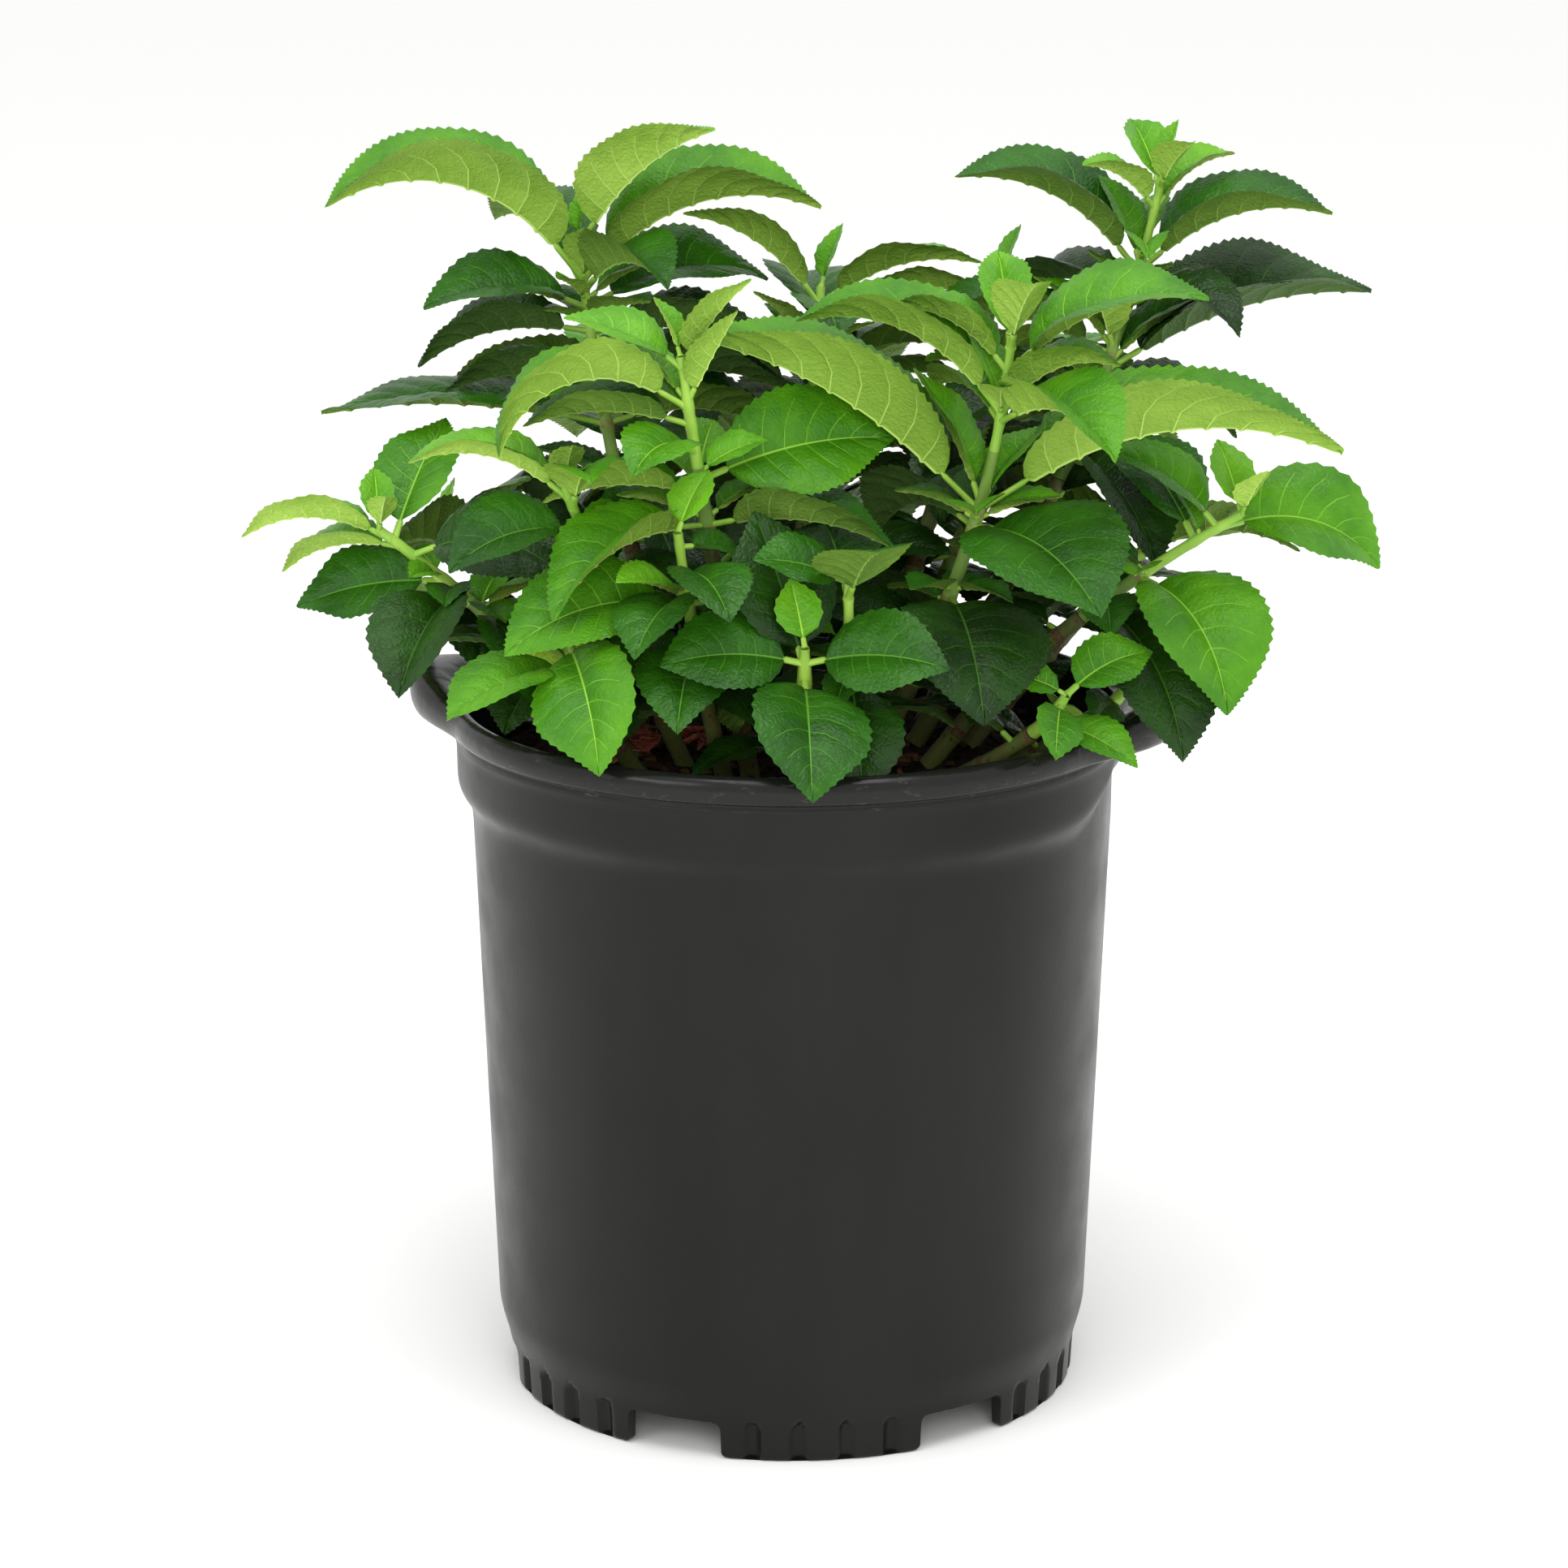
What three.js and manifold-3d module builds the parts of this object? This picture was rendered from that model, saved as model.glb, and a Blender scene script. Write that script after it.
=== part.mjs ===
// A leafy hydrangea shrub in its nursery pot, built as pot, potting mix, canes and masses of leaves.
// Millimetres, +Z up. The pot stands on z = 0, the front of the plant faces -Y.
import * as THREE from "three";
import { mergeVertices } from "three/addons/utils/BufferGeometryUtils.js";
import Module from "manifold-3d";

const wasm = await Module();
wasm.setup();

// ---------------------------------------------------------------- driving dimensions

const CLEAR = 0.3; // running gap between neighbouring solids

const POT = {
  top: 240,
  lipRadius: 117,
  lipDepth: 9,
  lipRoll: 6.6, // from the rolled lip's outer edge in to its inner face
  collarRadius: 114,
  collarFoot: 205,
  bodyTopRadius: 109,
  bodyFootRadius: 102.2,
  footRadius: 98,
  footTop: 25,
  floor: 14,
  wall: 2.6,
  segments: 36,
};
const GRIP = { turn: -10, halfAngle: 26, reach: 16, rise: 12, recess: 3.5 };
const FEET = {
  pads: 6,
  firstNotch: -114,
  notchWidth: 34,
  notchHeight: 13,
  grooves: 4,
  groovePitch: 9.3,
  grooveWidth: 6.6,
  grooveHeight: 14,
  grooveDepth: 2.4,
  overcut: 8, // how far the cuts run past the foot ring
};
const MIX = { level: 218 };

const LEAF = {
  stalkShare: 0.17, // stalk length as a share of the blade's
  width: 0.68, // width as a share of length
  widthJitter: 0.06,
  foldFrom: 1.12, // the fold at the base of a blade, as a share of the fold stated
  foldLoss: 0.4, // how much of it is lost by the tip
  thickness: 0.018, // at the midrib, as a share of length
  thicknessLeast: 0.7,
  stalkRadius: 1.5, // at most, on long leaves
  stalkLeast: 0.5,
  stalkGrowth: 0.03,
  cuts: [[42, 3], [72, 4], [Infinity, 5]], // blades up to this length have this many folds across
};
const STEM = {
  tipRadius: 1.5,
  joinRadius: 2.9,
  footRadius: 3.9,
  fullCane: 80, // a cane at least this long has the full foot radius
  bendHeight: 0.55, // where a cane's bend lies between its foot and tip
  reachPastLast: 8, // leafy stem below its last pair of leaves
  caneStep: 14,
  leafyStep: 16,
  sides: 5,
};
const JITTER = { azimuth: 8, rise: 6, droop: 8, roll: 12 };
const FACING = 50; // how far a blade rolls towards the way its shoot faces, in degrees
const OUTWARD = 0.75; // share of it for a shoot that just faces away from the pot's axis
const CLEARANCE = { blade: 2.4, stalk: 1.2, limb: 1.2, ownStem: 0.2, rim: 2.5, mix: 2.5 };
const LIMB_SPACING = 4; // between the points that stand for a limb in the tests
const STALK_POINTS = [0.55, 0.8]; // shares of a stalk that stand for it in the tests

// Ways a crowded leaf may turn and lift, in degrees, before it is left out.
const SHIFTS = [
  [0, 0], [8, 0], [-8, 0], [0, 8], [0, -8], [16, 0], [-16, 0], [14, 8], [-14, 8],
  [0, 16], [0, -16], [26, 0], [-26, 0], [22, 14], [-22, 14],
];
const SHRINKS = [1, 0.82, 0.66];

// Shoots: foot on the mix, tip of the shoot, bow of the cane (0 leans at once, 1 leans low and then
// stands), fold of the blades in degrees, the way in plan that the blades face (outward where none is
// given), their width where it isn't the ordinary one, and the pairs of opposite leaves. A pair is
// [distance below the tip, azimuth of the first leaf, length of the first, length of the second, rise,
// droop along the blade], and may end with what is its own instead of the shoot's.
const SHOOTS = [
  {
    name: "front_right", foot: [25, -22], tip: [71, -52, 372], bow: 0.9, fold: 40, face: [0, 0.02],
    pairs: [
      [0, 60, 16, 14, 80, 10], [4, 100, 34, 36, 64, 30], [12, 172, 40, 0, 48, 55],
      [12, 352, 62, 0, 44, 56, { face: [0, -0.35], fold: 26 }], [26, 166, 68, 40, 50, 68],
      [29, 120, 40, 60, 34, 66], [60, 178, 98, 0, 44, 38, { face: [0, 0.15] }],
      [60, 0, 108, 0, 42, 58, { face: [0, 0.05], width: 0.6 }],
      [66, 302, 64, 0, 8, 52, { face: [0, -0.5], fold: 14, width: 0.95 }], [66, 120, 60, 0, 12, 60],
      [92, 283, 56, 0, -6, 58, { fold: 12, width: 1 }], [97, 100, 60, 0, -4, 50],
    ],
  },
  {
    name: "front_left", foot: [-14, -27], tip: [-36, -62, 367], bow: 0.6, fold: 36, face: [0, 0.05],
    pairs: [
      [0, 150, 18, 16, 70, 20], [4, 168, 36, 0, 36, 34, { face: [0, -0.4], fold: 22 }],
      [4, 348, 32, 0, 60, 25], [18, 198, 66, 0, 50, 105, { face: [0, 0.2] }], [16, 335, 46, 0, 78, 8],
      [24, 182, 48, 0, 22, 40], [44, 4, 58, 0, 22, 26, { face: [0, -1], fold: 14, width: 0.74 }],
      [48, 182, 46, 0, 10, 40], [60, -8, 56, 0, 12, 40, { face: [0, 0.2] }], [60, 200, 60, 0, 5, 60],
    ],
  },
  {
    name: "back_left", foot: [-38, 14], tip: [-73, 42, 390], bow: 0.75, fold: 42, face: [0, 0.08],
    pairs: [
      [0, 60, 14, 14, 80, 10], [2, 145, 34, 0, 76, 16], [3, 332, 60, 0, 72, 42], [14, 188, 88, 0, 51, 84],
      [14, 7, 78, 0, 46, 70, { face: [0, -0.12] }], [18, 300, 54, 60, 50, 70],
      [24, 205, 52, 60, 24, 50, { face: [0, -0.4], fold: 24 }], [32, 176, 66, 60, 26, 52],
      [50, 186, 46, 58, 14, 40], [64, 186, 84, 0, 14, 26, { fold: 14 }], [64, 8, 56, 0, 16, 50],
      [88, 110, 60, 60, 0, 60],
    ],
  },
  {
    name: "back_right", foot: [42, 16], tip: [126, 48, 409], bow: 0.8, fold: 36, face: [0, -0.12],
    pairs: [
      [0, 20, 18, 16, 78, 10], [3, 110, 28, 26, 66, 30], [10, 30, 32, 30, 52, 50],
      [28, 90, 46, 28, 35, 70], [32, 181, 64, 62, 50, 60], [44, 135, 50, 46, 25, 75],
      [62, 184, 62, 0, 30, 54], [68, 6, 86, 0, 28, 36], [80, 200, 60, 52, 10, 60],
      [100, 110, 60, 60, 0, 60],
    ],
  },
  {
    name: "right_low", foot: [46, -14], tip: [149, -28, 308], bow: 0.35, fold: 22, face: [0, -0.3],
    width: 0.74,
    pairs: [
      [0, 120, 24, 20, 60, 20], [9, 2, 52, 0, 16, 76, { face: [0, -0.8], width: 0.84 }],
      [9, 170, 40, 0, 50, 40], [18, 125, 46, 46, 50, 34], [40, -58, 58, 0, -8, 78, { width: 0.88 }],
      [40, 130, 60, 0, 16, 60], [56, 120, 60, 60, 0, 60],
    ],
  },
  {
    name: "left_low", foot: [-54, -4], tip: [-138, -15, 300], bow: 0.45, fold: 30, face: [0, 0],
    pairs: [
      [0, 100, 20, 18, 60, 20], [5, 180, 46, 0, 36, 60, { face: [0, 0.2] }],
      [6, 60, 44, 0, 68, 24, { fold: 20, width: 0.74 }], [9, 166, 40, 0, 20, 50],
      [28, 178, 44, 0, 18, 26, { face: [0, -0.8], fold: 14, width: 0.76 }],
      [14, 335, 54, 0, 22, 70, { face: [0, -0.7], fold: 16, width: 0.74 }],
      [34, 250, 48, 0, -10, 50, { width: 0.8 }], [46, 295, 50, 60, -5, 50],
    ],
  },
  {
    name: "left_middle", foot: [-36, -14], tip: [-74, -60, 324], bow: 0.6, fold: 26, face: [0, 0],
    width: 0.74,
    pairs: [
      [0, 100, 20, 18, 60, 30], [5, 174, 60, 0, 38, 64, { face: [0, 0.1] }],
      [5, 350, 40, 0, 50, 60, { face: [0, -0.5] }], [9, 100, 46, 36, 50, 70],
      [18, 205, 42, 40, 10, 55, { face: [0, -0.6] }], [40, 160, 40, 50, 0, 60],
      [58, 196, 48, 0, 0, 50, { face: [0, -0.8], fold: 12, width: 0.82 }], [60, 300, 40, 0, 0, 50],
    ],
  },
  {
    name: "left_front", foot: [-22, -40], tip: [-37, -72, 311], bow: 0.7, fold: 16, width: 0.76,
    pairs: [
      [0, 60, 22, 20, 60, 30], [5, 212, 44, 36, 12, 50], [26, 198, 56, 46, 6, 50],
      [44, 240, 46, 40, -10, 50],
    ],
  },
  {
    name: "front_low", foot: [3, -46], tip: [4, -86, 276], bow: 0.8, fold: 12, width: 0.84,
    pairs: [
      [0, 115, 20, 16, 70, 14], [9, 118, 47, 0, 62, 14], [6, 187, 42, 42, 14, 34],
      [12, 250, 50, 0, -10, 50], [15, 300, 0, 44, 4, 40],
    ],
  },
  {
    name: "left_front_low", foot: [-50, -32], tip: [-75, -72, 283], bow: 0.8, fold: 14, width: 0.84,
    pairs: [
      [0, 100, 34, 18, 60, 25], [3, 203, 42, 0, 4, 44, { face: [0, -0.6] }], [3, 20, 30, 0, 30, 50],
      [8, 285, 48, 0, -8, 50], [20, 215, 44, 34, -6, 40],
    ],
  },
  {
    name: "right_front_low", foot: [22, -50], tip: [18, -76, 296], bow: 0.9, fold: 16, width: 0.8,
    pairs: [
      [0, 22, 44, 30, 28, 24], [6, 100, 40, 44, 40, 30], [20, 330, 58, 44, 2, 50],
      [34, 275, 50, 40, -20, 40],
    ],
  },
  {
    name: "right_front_bud", foot: [48, -42], tip: [89, -76, 258], bow: 0.8, fold: 14, width: 0.76,
    pairs: [
      [0, 30, 30, 18, 34, 40], [4, 262, 24, 20, -10, 40], [12, 330, 30, 20, -10, 30],
    ],
  },
  {
    name: "right_rim", foot: [66, -26], tip: [111, -52, 256], bow: 0.8, fold: 12, width: 0.84,
    pairs: [
      [0, 40, 24, 10, 40, 30], [4, 292, 48, 20, -16, 44, { width: 1 }], [8, 60, 34, 30, 10, 40],
    ],
  },
  {
    name: "middle_back", foot: [-2, 20], tip: [10, 62, 370], bow: 0.6, fold: 24, face: [0, 0.3],
    pairs: [
      [0, 40, 20, 18, 70, 10], [6, 172, 50, 52, 36, 50], [14, 100, 50, 46, 30, 60],
      [28, 185, 66, 62, 20, 55], [44, 100, 60, 60, 5, 60], [66, 5, 60, 60, 0, 60],
    ],
  },
  {
    name: "right_middle_back", foot: [22, 14], tip: [72, 60, 372], bow: 0.6, fold: 24, face: [0, 0.3],
    pairs: [
      [0, 40, 18, 18, 70, 10], [6, 170, 44, 44, 34, 50], [16, 95, 50, 50, 25, 60],
      [34, 175, 60, 60, 10, 60], [56, 80, 60, 60, 0, 60],
    ],
  },
  // The shoots of the far side follow the ordinary habit: largest is their longest blade.
  { name: "rear_left", foot: [-26, 38], tip: [-62, 104, 330], bow: 0.6, fold: 22, largest: 72, turn: 20 },
  { name: "rear_middle", foot: [2, 44], tip: [12, 124, 322], bow: 0.6, fold: 20, largest: 76, turn: 75 },
  { name: "rear_right", foot: [28, 40], tip: [84, 110, 328], bow: 0.6, fold: 22, largest: 72, turn: 130 },
  { name: "left_back", foot: [-56, 18], tip: [-122, 56, 284], bow: 0.5, fold: 18, largest: 62, turn: 60 },
  { name: "right_back", foot: [60, 12], tip: [132, 62, 286], bow: 0.5, fold: 18, largest: 62, turn: 150 },
  {
    name: "rear_left_low", foot: [-38, 50], tip: [-84, 90, 280], bow: 0.35, fold: 14,
    largest: 54, turn: 100,
  },
  { name: "rear_low", foot: [-14, 60], tip: [-22, 116, 280], bow: 0.35, fold: 14, largest: 56, turn: 10 },
  {
    name: "rear_right_low", foot: [46, 46], tip: [94, 92, 280], bow: 0.35, fold: 14,
    largest: 54, turn: 45,
  },
];
// The ordinary habit of a shoot: distance of each pair below the tip, its blade length as a share of
// the longest, its rise and its droop. Each pair stands a quarter turn from the one above.
const HABIT = {
  below: [0, 6, 16, 30, 48, 70],
  share: [0.28, 0.6, 0.9, 1, 0.92, 0.8],
  rise: [72, 52, 36, 20, 8, -4],
  droop: [12, 36, 56, 62, 60, 56],
  turn: 90,
};
const HABIT_LOW = 3; // pairs on a shoot whose tip is lower than this height
const LOW_TIP = 290;

const FINISH = {
  pot: { color: 0x343432, roughness: 0.42, metalness: 0 },
  mix: { color: 0x2a1c14, roughness: 1, metalness: 0 },
  cane: { color: 0x7f9440, roughness: 0.6, metalness: 0 },
  leaf: { color: 0x3f8f2a, roughness: 0.5, metalness: 0 },
};

// ---------------------------------------------------------------- small helpers

const radians = THREE.MathUtils.degToRad;
const vec = (x, y, z) => new THREE.Vector3(x, y, z);

// A number from 0 to 1 that depends only on its keys.
function chance(...keys) {
  const n = keys.reduce((sum, key, i) => sum + (i + 1) * 7.31 * key, 0);
  const v = Math.sin(n * 12.9898 + 4.1414) * 43758.5453;
  return v - Math.floor(v);
}

// A closed skin over rings of equal count, each counter-clockwise about the way the rings run.
function skin(rings, start, end) {
  const count = rings[0].length;
  const points = [start ?? rings[0][0], end ?? rings.at(-1)[0], ...rings.flat()];
  const at = (ring, j) => 2 + ring * count + (j % count);
  const faces = [];
  for (let j = 0; j < count; j++) {
    faces.push(0, at(0, j + 1), at(0, j));
    faces.push(1, at(rings.length - 1, j), at(rings.length - 1, j + 1));
    for (let ring = 0; ring < rings.length - 1; ring++) {
      faces.push(at(ring, j), at(ring, j + 1), at(ring + 1, j + 1));
      faces.push(at(ring, j), at(ring + 1, j + 1), at(ring + 1, j));
    }
  }
  return new THREE.BufferGeometry().setFromPoints(points).setIndex(faces);
}

// A tapering round limb through points; its first and last rings may face a stated way.
function limb({ points, radii, footWay, endWay }, sides) {
  const along = points.at(-1).clone().sub(points[0]).normalize();
  const axes = [vec(1, 0, 0), vec(0, 1, 0), vec(0, 0, 1)];
  const across = axes.reduce((a, b) => (Math.abs(a.dot(along)) < Math.abs(b.dot(along)) ? a : b));
  const rings = points.map((point, i) => {
    const before = points[Math.max(i - 1, 0)];
    const after = points[Math.min(i + 1, points.length - 1)];
    const stated = (i === 0 && footWay) || (i === points.length - 1 && endWay);
    const way = stated || after.clone().sub(before).normalize();
    const u = across.clone().addScaledVector(way, -across.dot(way)).normalize();
    const v = way.clone().cross(u);
    return Array.from({ length: sides }, (_, j) => {
      const angle = (2 * Math.PI * j) / sides;
      return point.clone()
        .addScaledVector(u, radii[i] * Math.cos(angle))
        .addScaledVector(v, radii[i] * Math.sin(angle));
    });
  });
  return skin(rings);
}

function solidOf(geometry) {
  const bare = geometry.clone();
  bare.deleteAttribute("normal");
  bare.deleteAttribute("uv");
  const merged = mergeVertices(bare, 1e-4);
  const faces = [];
  for (let i = 0; i < merged.index.count; i += 3) {
    const [a, b, c] = [0, 1, 2].map((k) => merged.index.getX(i + k));
    if (a !== b && b !== c && c !== a) faces.push(a, b, c);
  }
  return new wasm.Manifold(
    new wasm.Mesh({
      numProp: 3,
      vertProperties: new Float32Array(merged.attributes.position.array),
      triVerts: new Uint32Array(faces),
    }),
  );
}

// The largest body of a solid, with any sealed hollow filled.
function largestBody(solid) {
  return solid.decompose().reduce((a, b) => (b.volume() > a.volume() ? b : a));
}

function meshOf(solid, name, finish) {
  const data = solid.getMesh();
  const geometry = new THREE.BufferGeometry();
  geometry.setAttribute("position", new THREE.BufferAttribute(data.vertProperties, 3));
  geometry.setIndex(new THREE.BufferAttribute(data.triVerts, 1));
  const mesh = new THREE.Mesh(geometry, new THREE.MeshStandardMaterial(finish));
  mesh.name = name;
  return mesh;
}

// ---------------------------------------------------------------- pot and potting mix

// How far a direction lies in one of the two grips, from 0 to 1.
function gripShare(x, y) {
  const turn = radians(GRIP.turn);
  const along = x * Math.cos(turn) + y * Math.sin(turn);
  const across = y * Math.cos(turn) - x * Math.sin(turn);
  const off = Math.atan2(Math.abs(across), Math.abs(along)) / radians(GRIP.halfAngle);
  return off < 1 ? Math.cos((off * Math.PI) / 2) ** 2 : 0;
}

// Outline of the pot's wall from the axis under the floor, up the outside and down the inside.
function potOutline() {
  const { top, lipRadius, lipDepth, lipRoll, collarRadius, collarFoot, wall } = POT;
  const { bodyTopRadius, bodyFootRadius, footRadius, footTop, floor } = POT;
  const lipFoot = top - lipDepth;
  const skirt = footRadius - wall - 1;
  const inner = bodyTopRadius - wall;
  return [
    [0, floor], [skirt - 2, floor], [skirt, floor - 2], [skirt, 0],
    [footRadius, 0], [footRadius + 0.8, footTop - 11], [bodyFootRadius - 0.8, footTop - 2],
    [bodyFootRadius, footTop + 2], [bodyTopRadius, collarFoot - 2],
    [bodyTopRadius + 1.2, collarFoot + 1], [collarRadius - 1.2, collarFoot + 4.5],
    [collarRadius, collarFoot + 8], [collarRadius + 0.4, lipFoot - 0.6],
    [lipRadius - 0.5, lipFoot], [lipRadius, lipFoot + 2.5], [lipRadius - 0.6, top - 3],
    [lipRadius - 2.6, top - 0.6], [lipRadius - 4.6, top], [lipRadius - lipRoll + 0.2, top - 1.5],
    [lipRadius - lipRoll, lipFoot - 4], [inner + 1, collarFoot + 2], [inner, collarFoot - 4],
    [bodyFootRadius - wall, footTop + 4], [footRadius - wall, floor + wall], [0, floor + wall],
  ].map(([r, z]) => new THREE.Vector2(r, z));
}

// The lip flares and rises into a grip, over a shallow finger recess in the collar.
function withGrips(geometry) {
  const position = geometry.attributes.position;
  const hinge = POT.lipRadius - POT.lipRoll;
  const lipFoot = POT.top - POT.lipDepth;
  for (let i = 0; i < position.count; i++) {
    const [x, y, z] = [position.getX(i), position.getY(i), position.getZ(i)];
    const radius = Math.hypot(x, y);
    const share = gripShare(x, y);
    if (share === 0 || radius <= hinge || z < POT.collarFoot) continue;
    const inLip = z >= lipFoot - 0.1;
    const out = inLip ? (radius - hinge) / POT.lipRoll : 0;
    const grown = radius + share * (inLip ? GRIP.reach * out : -GRIP.recess);
    const lift = inLip ? (GRIP.rise * share * out * (z - lipFoot)) / POT.lipDepth : 0;
    position.setXYZ(i, (x * grown) / radius, (y * grown) / radius, z + lift);
  }
  return geometry;
}

// A cutter that stands on the floor line, faces outward at an angle and has a round top.
function footCutter(width, height, inner, outer, angle) {
  const shape = new THREE.Shape();
  const shoulder = height - width / 2;
  shape.moveTo(-width / 2, -1);
  shape.lineTo(width / 2, -1);
  if (shoulder > 0) {
    shape.lineTo(width / 2, shoulder);
    shape.absarc(0, shoulder, width / 2, 0, Math.PI);
  } else {
    shape.lineTo(width / 2, height);
    shape.lineTo(-width / 2, height);
  }
  shape.closePath();
  const geometry = new THREE.ExtrudeGeometry(shape, {
    depth: outer - inner, bevelEnabled: false, curveSegments: 2,
  });
  const standing = new THREE.Matrix4().makeBasis(vec(0, -1, 0), vec(0, 0, 1), vec(-1, 0, 0));
  geometry.applyMatrix4(standing);
  geometry.translate(outer, 0, 0);
  return solidOf(geometry.rotateZ(radians(angle)));
}

function pot() {
  const turned = new THREE.LatheGeometry(potOutline(), POT.segments).rotateX(Math.PI / 2);
  let solid = solidOf(withGrips(turned));
  const pitch = 360 / FEET.pads;
  const rim = POT.footRadius + FEET.overcut;
  for (let k = 0; k < FEET.pads; k++) {
    const notch = FEET.firstNotch + pitch * k;
    const skirt = POT.footRadius - POT.wall;
    solid = solid.subtract(
      footCutter(FEET.notchWidth, FEET.notchHeight, skirt - FEET.overcut, rim, notch),
    );
    for (let g = 0; g < FEET.grooves; g++) {
      const angle = notch + pitch / 2 + FEET.groovePitch * (g - (FEET.grooves - 1) / 2);
      const floor = POT.footRadius - FEET.grooveDepth;
      solid = solid.subtract(
        footCutter(FEET.grooveWidth, FEET.grooveHeight, floor, rim, angle),
      );
    }
  }
  return meshOf(largestBody(solid), "pot", FINISH.pot);
}

function pottingMix() {
  const inset = POT.wall + CLEAR + 0.4;
  const foot = POT.floor + POT.wall + CLEAR;
  const { level } = MIX;
  const outline = [
    [0, foot], [POT.footRadius - inset - 0.6, foot], [POT.bodyFootRadius - inset, POT.footTop + 4],
    [POT.bodyTopRadius - inset - 0.4, POT.collarFoot - 6],
    [POT.bodyTopRadius - inset - 0.2, level - 2], [POT.bodyTopRadius - inset - 5, level - 0.5],
    [POT.bodyTopRadius / 2, level], [0, level],
  ].map(([r, z]) => new THREE.Vector2(r, z));
  const geometry = new THREE.LatheGeometry(outline, POT.segments).rotateX(Math.PI / 2);
  return meshOf(solidOf(geometry), "potting_mix", FINISH.mix);
}

// ---------------------------------------------------------------- leaves as surfaces

function halfWidth(share, length, width) {
  return (length * width * share ** 0.62 * (1 - share) ** 0.78) / 0.817;
}

// A leaf's stalk, midrib and margins: the stalk runs straight out, the midrib bends down from its
// rise by its droop, and each side lifts from the midrib by the fold, less towards the tip.
function leafPlan({ base, azimuth, rise, droop, length, fold, roll, width }) {
  const a = radians(azimuth);
  const outward = vec(Math.cos(a), Math.sin(a), 0);
  const left = vec(-Math.sin(a), Math.cos(a), 0);
  const heading = (e) => outward.clone().multiplyScalar(Math.cos(e)).setZ(Math.sin(e));
  const bladeStart = base.clone().addScaledVector(heading(radians(rise)), length * LEAF.stalkShare);
  const cuts = LEAF.cuts.find(([longest]) => length <= longest)[1];
  const plan = { length, stalk: [base, bladeStart], spine: [], left: [], right: [], up: [], side: [] };
  const point = bladeStart.clone();
  for (let i = 0; i <= cuts; i++) {
    const share = i / cuts;
    const bend = radians(rise - droop * share ** 1.1);
    const normal = heading(bend + Math.PI / 2);
    const r = radians(roll);
    const side = left.clone().multiplyScalar(Math.cos(r)).addScaledVector(normal, Math.sin(r));
    const up = normal.clone().multiplyScalar(Math.cos(r)).addScaledVector(left, -Math.sin(r));
    const half = halfWidth(share, length, width);
    const folded = radians(fold * (LEAF.foldFrom - LEAF.foldLoss * share));
    const flat = half * Math.cos(folded);
    const lift = half * Math.sin(folded);
    plan.spine.push(point.clone());
    plan.up.push(up);
    plan.side.push(side);
    plan.left.push(point.clone().addScaledVector(side, flat).addScaledVector(up, lift));
    plan.right.push(point.clone().addScaledVector(side, -flat).addScaledVector(up, lift));
    const next = radians(rise - droop * ((i + 0.5) / cuts) ** 1.1);
    point.addScaledVector(heading(next), length / cuts);
  }
  return plan;
}

// The plan's blade as loose triangles and edges, for the tests that keep leaves apart.
function bladeSheet(plan) {
  const { spine, left, right } = plan;
  const last = spine.length - 1;
  const triangles = [];
  const edges = [];
  for (let i = 0; i < last; i++) {
    edges.push([spine[i], spine[i + 1]]);
    for (const margin of [left, right]) {
      if (i > 0) triangles.push([spine[i], margin[i], margin[i + 1]]);
      if (i > 0) edges.push([spine[i], margin[i]]);
      if (i < last - 1) triangles.push([spine[i], margin[i + 1], spine[i + 1]]);
      else triangles.push([spine[i], margin[i], spine[last]]);
      edges.push([margin[i], margin[i + 1]]);
    }
  }
  const points = [...spine, ...left.slice(1, last), ...right.slice(1, last)];
  const stalk = STALK_POINTS.map((t) => plan.stalk[0].clone().lerp(plan.stalk[1], t));
  const box = new THREE.Box3().setFromPoints([...points, ...stalk]).expandByScalar(CLEARANCE.blade);
  return { triangles: triangles.map((t) => new THREE.Triangle(...t)), edges, points, stalk, box };
}

function edgeCrosses([p, q], triangle) {
  const along = q.clone().sub(p);
  const e1 = triangle.b.clone().sub(triangle.a);
  const e2 = triangle.c.clone().sub(triangle.a);
  const h = along.clone().cross(e2);
  const det = e1.dot(h);
  if (Math.abs(det) < 1e-9) return false;
  const s = p.clone().sub(triangle.a);
  const u = s.dot(h) / det;
  const w = s.cross(e1);
  const v = along.dot(w) / det;
  const t = e2.dot(w) / det;
  return u >= 0 && v >= 0 && u + v <= 1 && t >= 0 && t <= 1;
}

function near(points, triangles, distance) {
  const foot = vec(0, 0, 0);
  return points.some((point) =>
    triangles.some((t) => t.closestPointToPoint(point, foot).distanceTo(point) < distance),
  );
}

function bladesClash(a, b) {
  if (!a.box.intersectsBox(b.box)) return false;
  const stalkRoom = LEAF.stalkRadius + CLEARANCE.stalk;
  return (
    a.edges.some((edge) => b.triangles.some((t) => edgeCrosses(edge, t))) ||
    b.edges.some((edge) => a.triangles.some((t) => edgeCrosses(edge, t))) ||
    near(a.points, b.triangles, CLEARANCE.blade) ||
    near(b.points, a.triangles, CLEARANCE.blade) ||
    near(a.stalk, b.triangles, stalkRoom) ||
    near(b.stalk, a.triangles, stalkRoom)
  );
}

// A blade keeps off the pot's rim and the mix: inside the rim it stays above the mix.
function clearsPot(sheet) {
  const samples = [...sheet.points, ...sheet.edges.map(([p, q]) => p.clone().lerp(q, 0.5))];
  return samples.every((p) => {
    const radius = Math.hypot(p.x, p.y);
    const share = gripShare(p.x, p.y);
    if (p.z > POT.top + GRIP.rise * share + CLEARANCE.rim) return true;
    if (radius < POT.lipRadius - POT.lipRoll - CLEARANCE.rim) return p.z > MIX.level + CLEARANCE.mix;
    return radius > POT.lipRadius + GRIP.reach * share + CLEARANCE.rim;
  });
}

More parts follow.
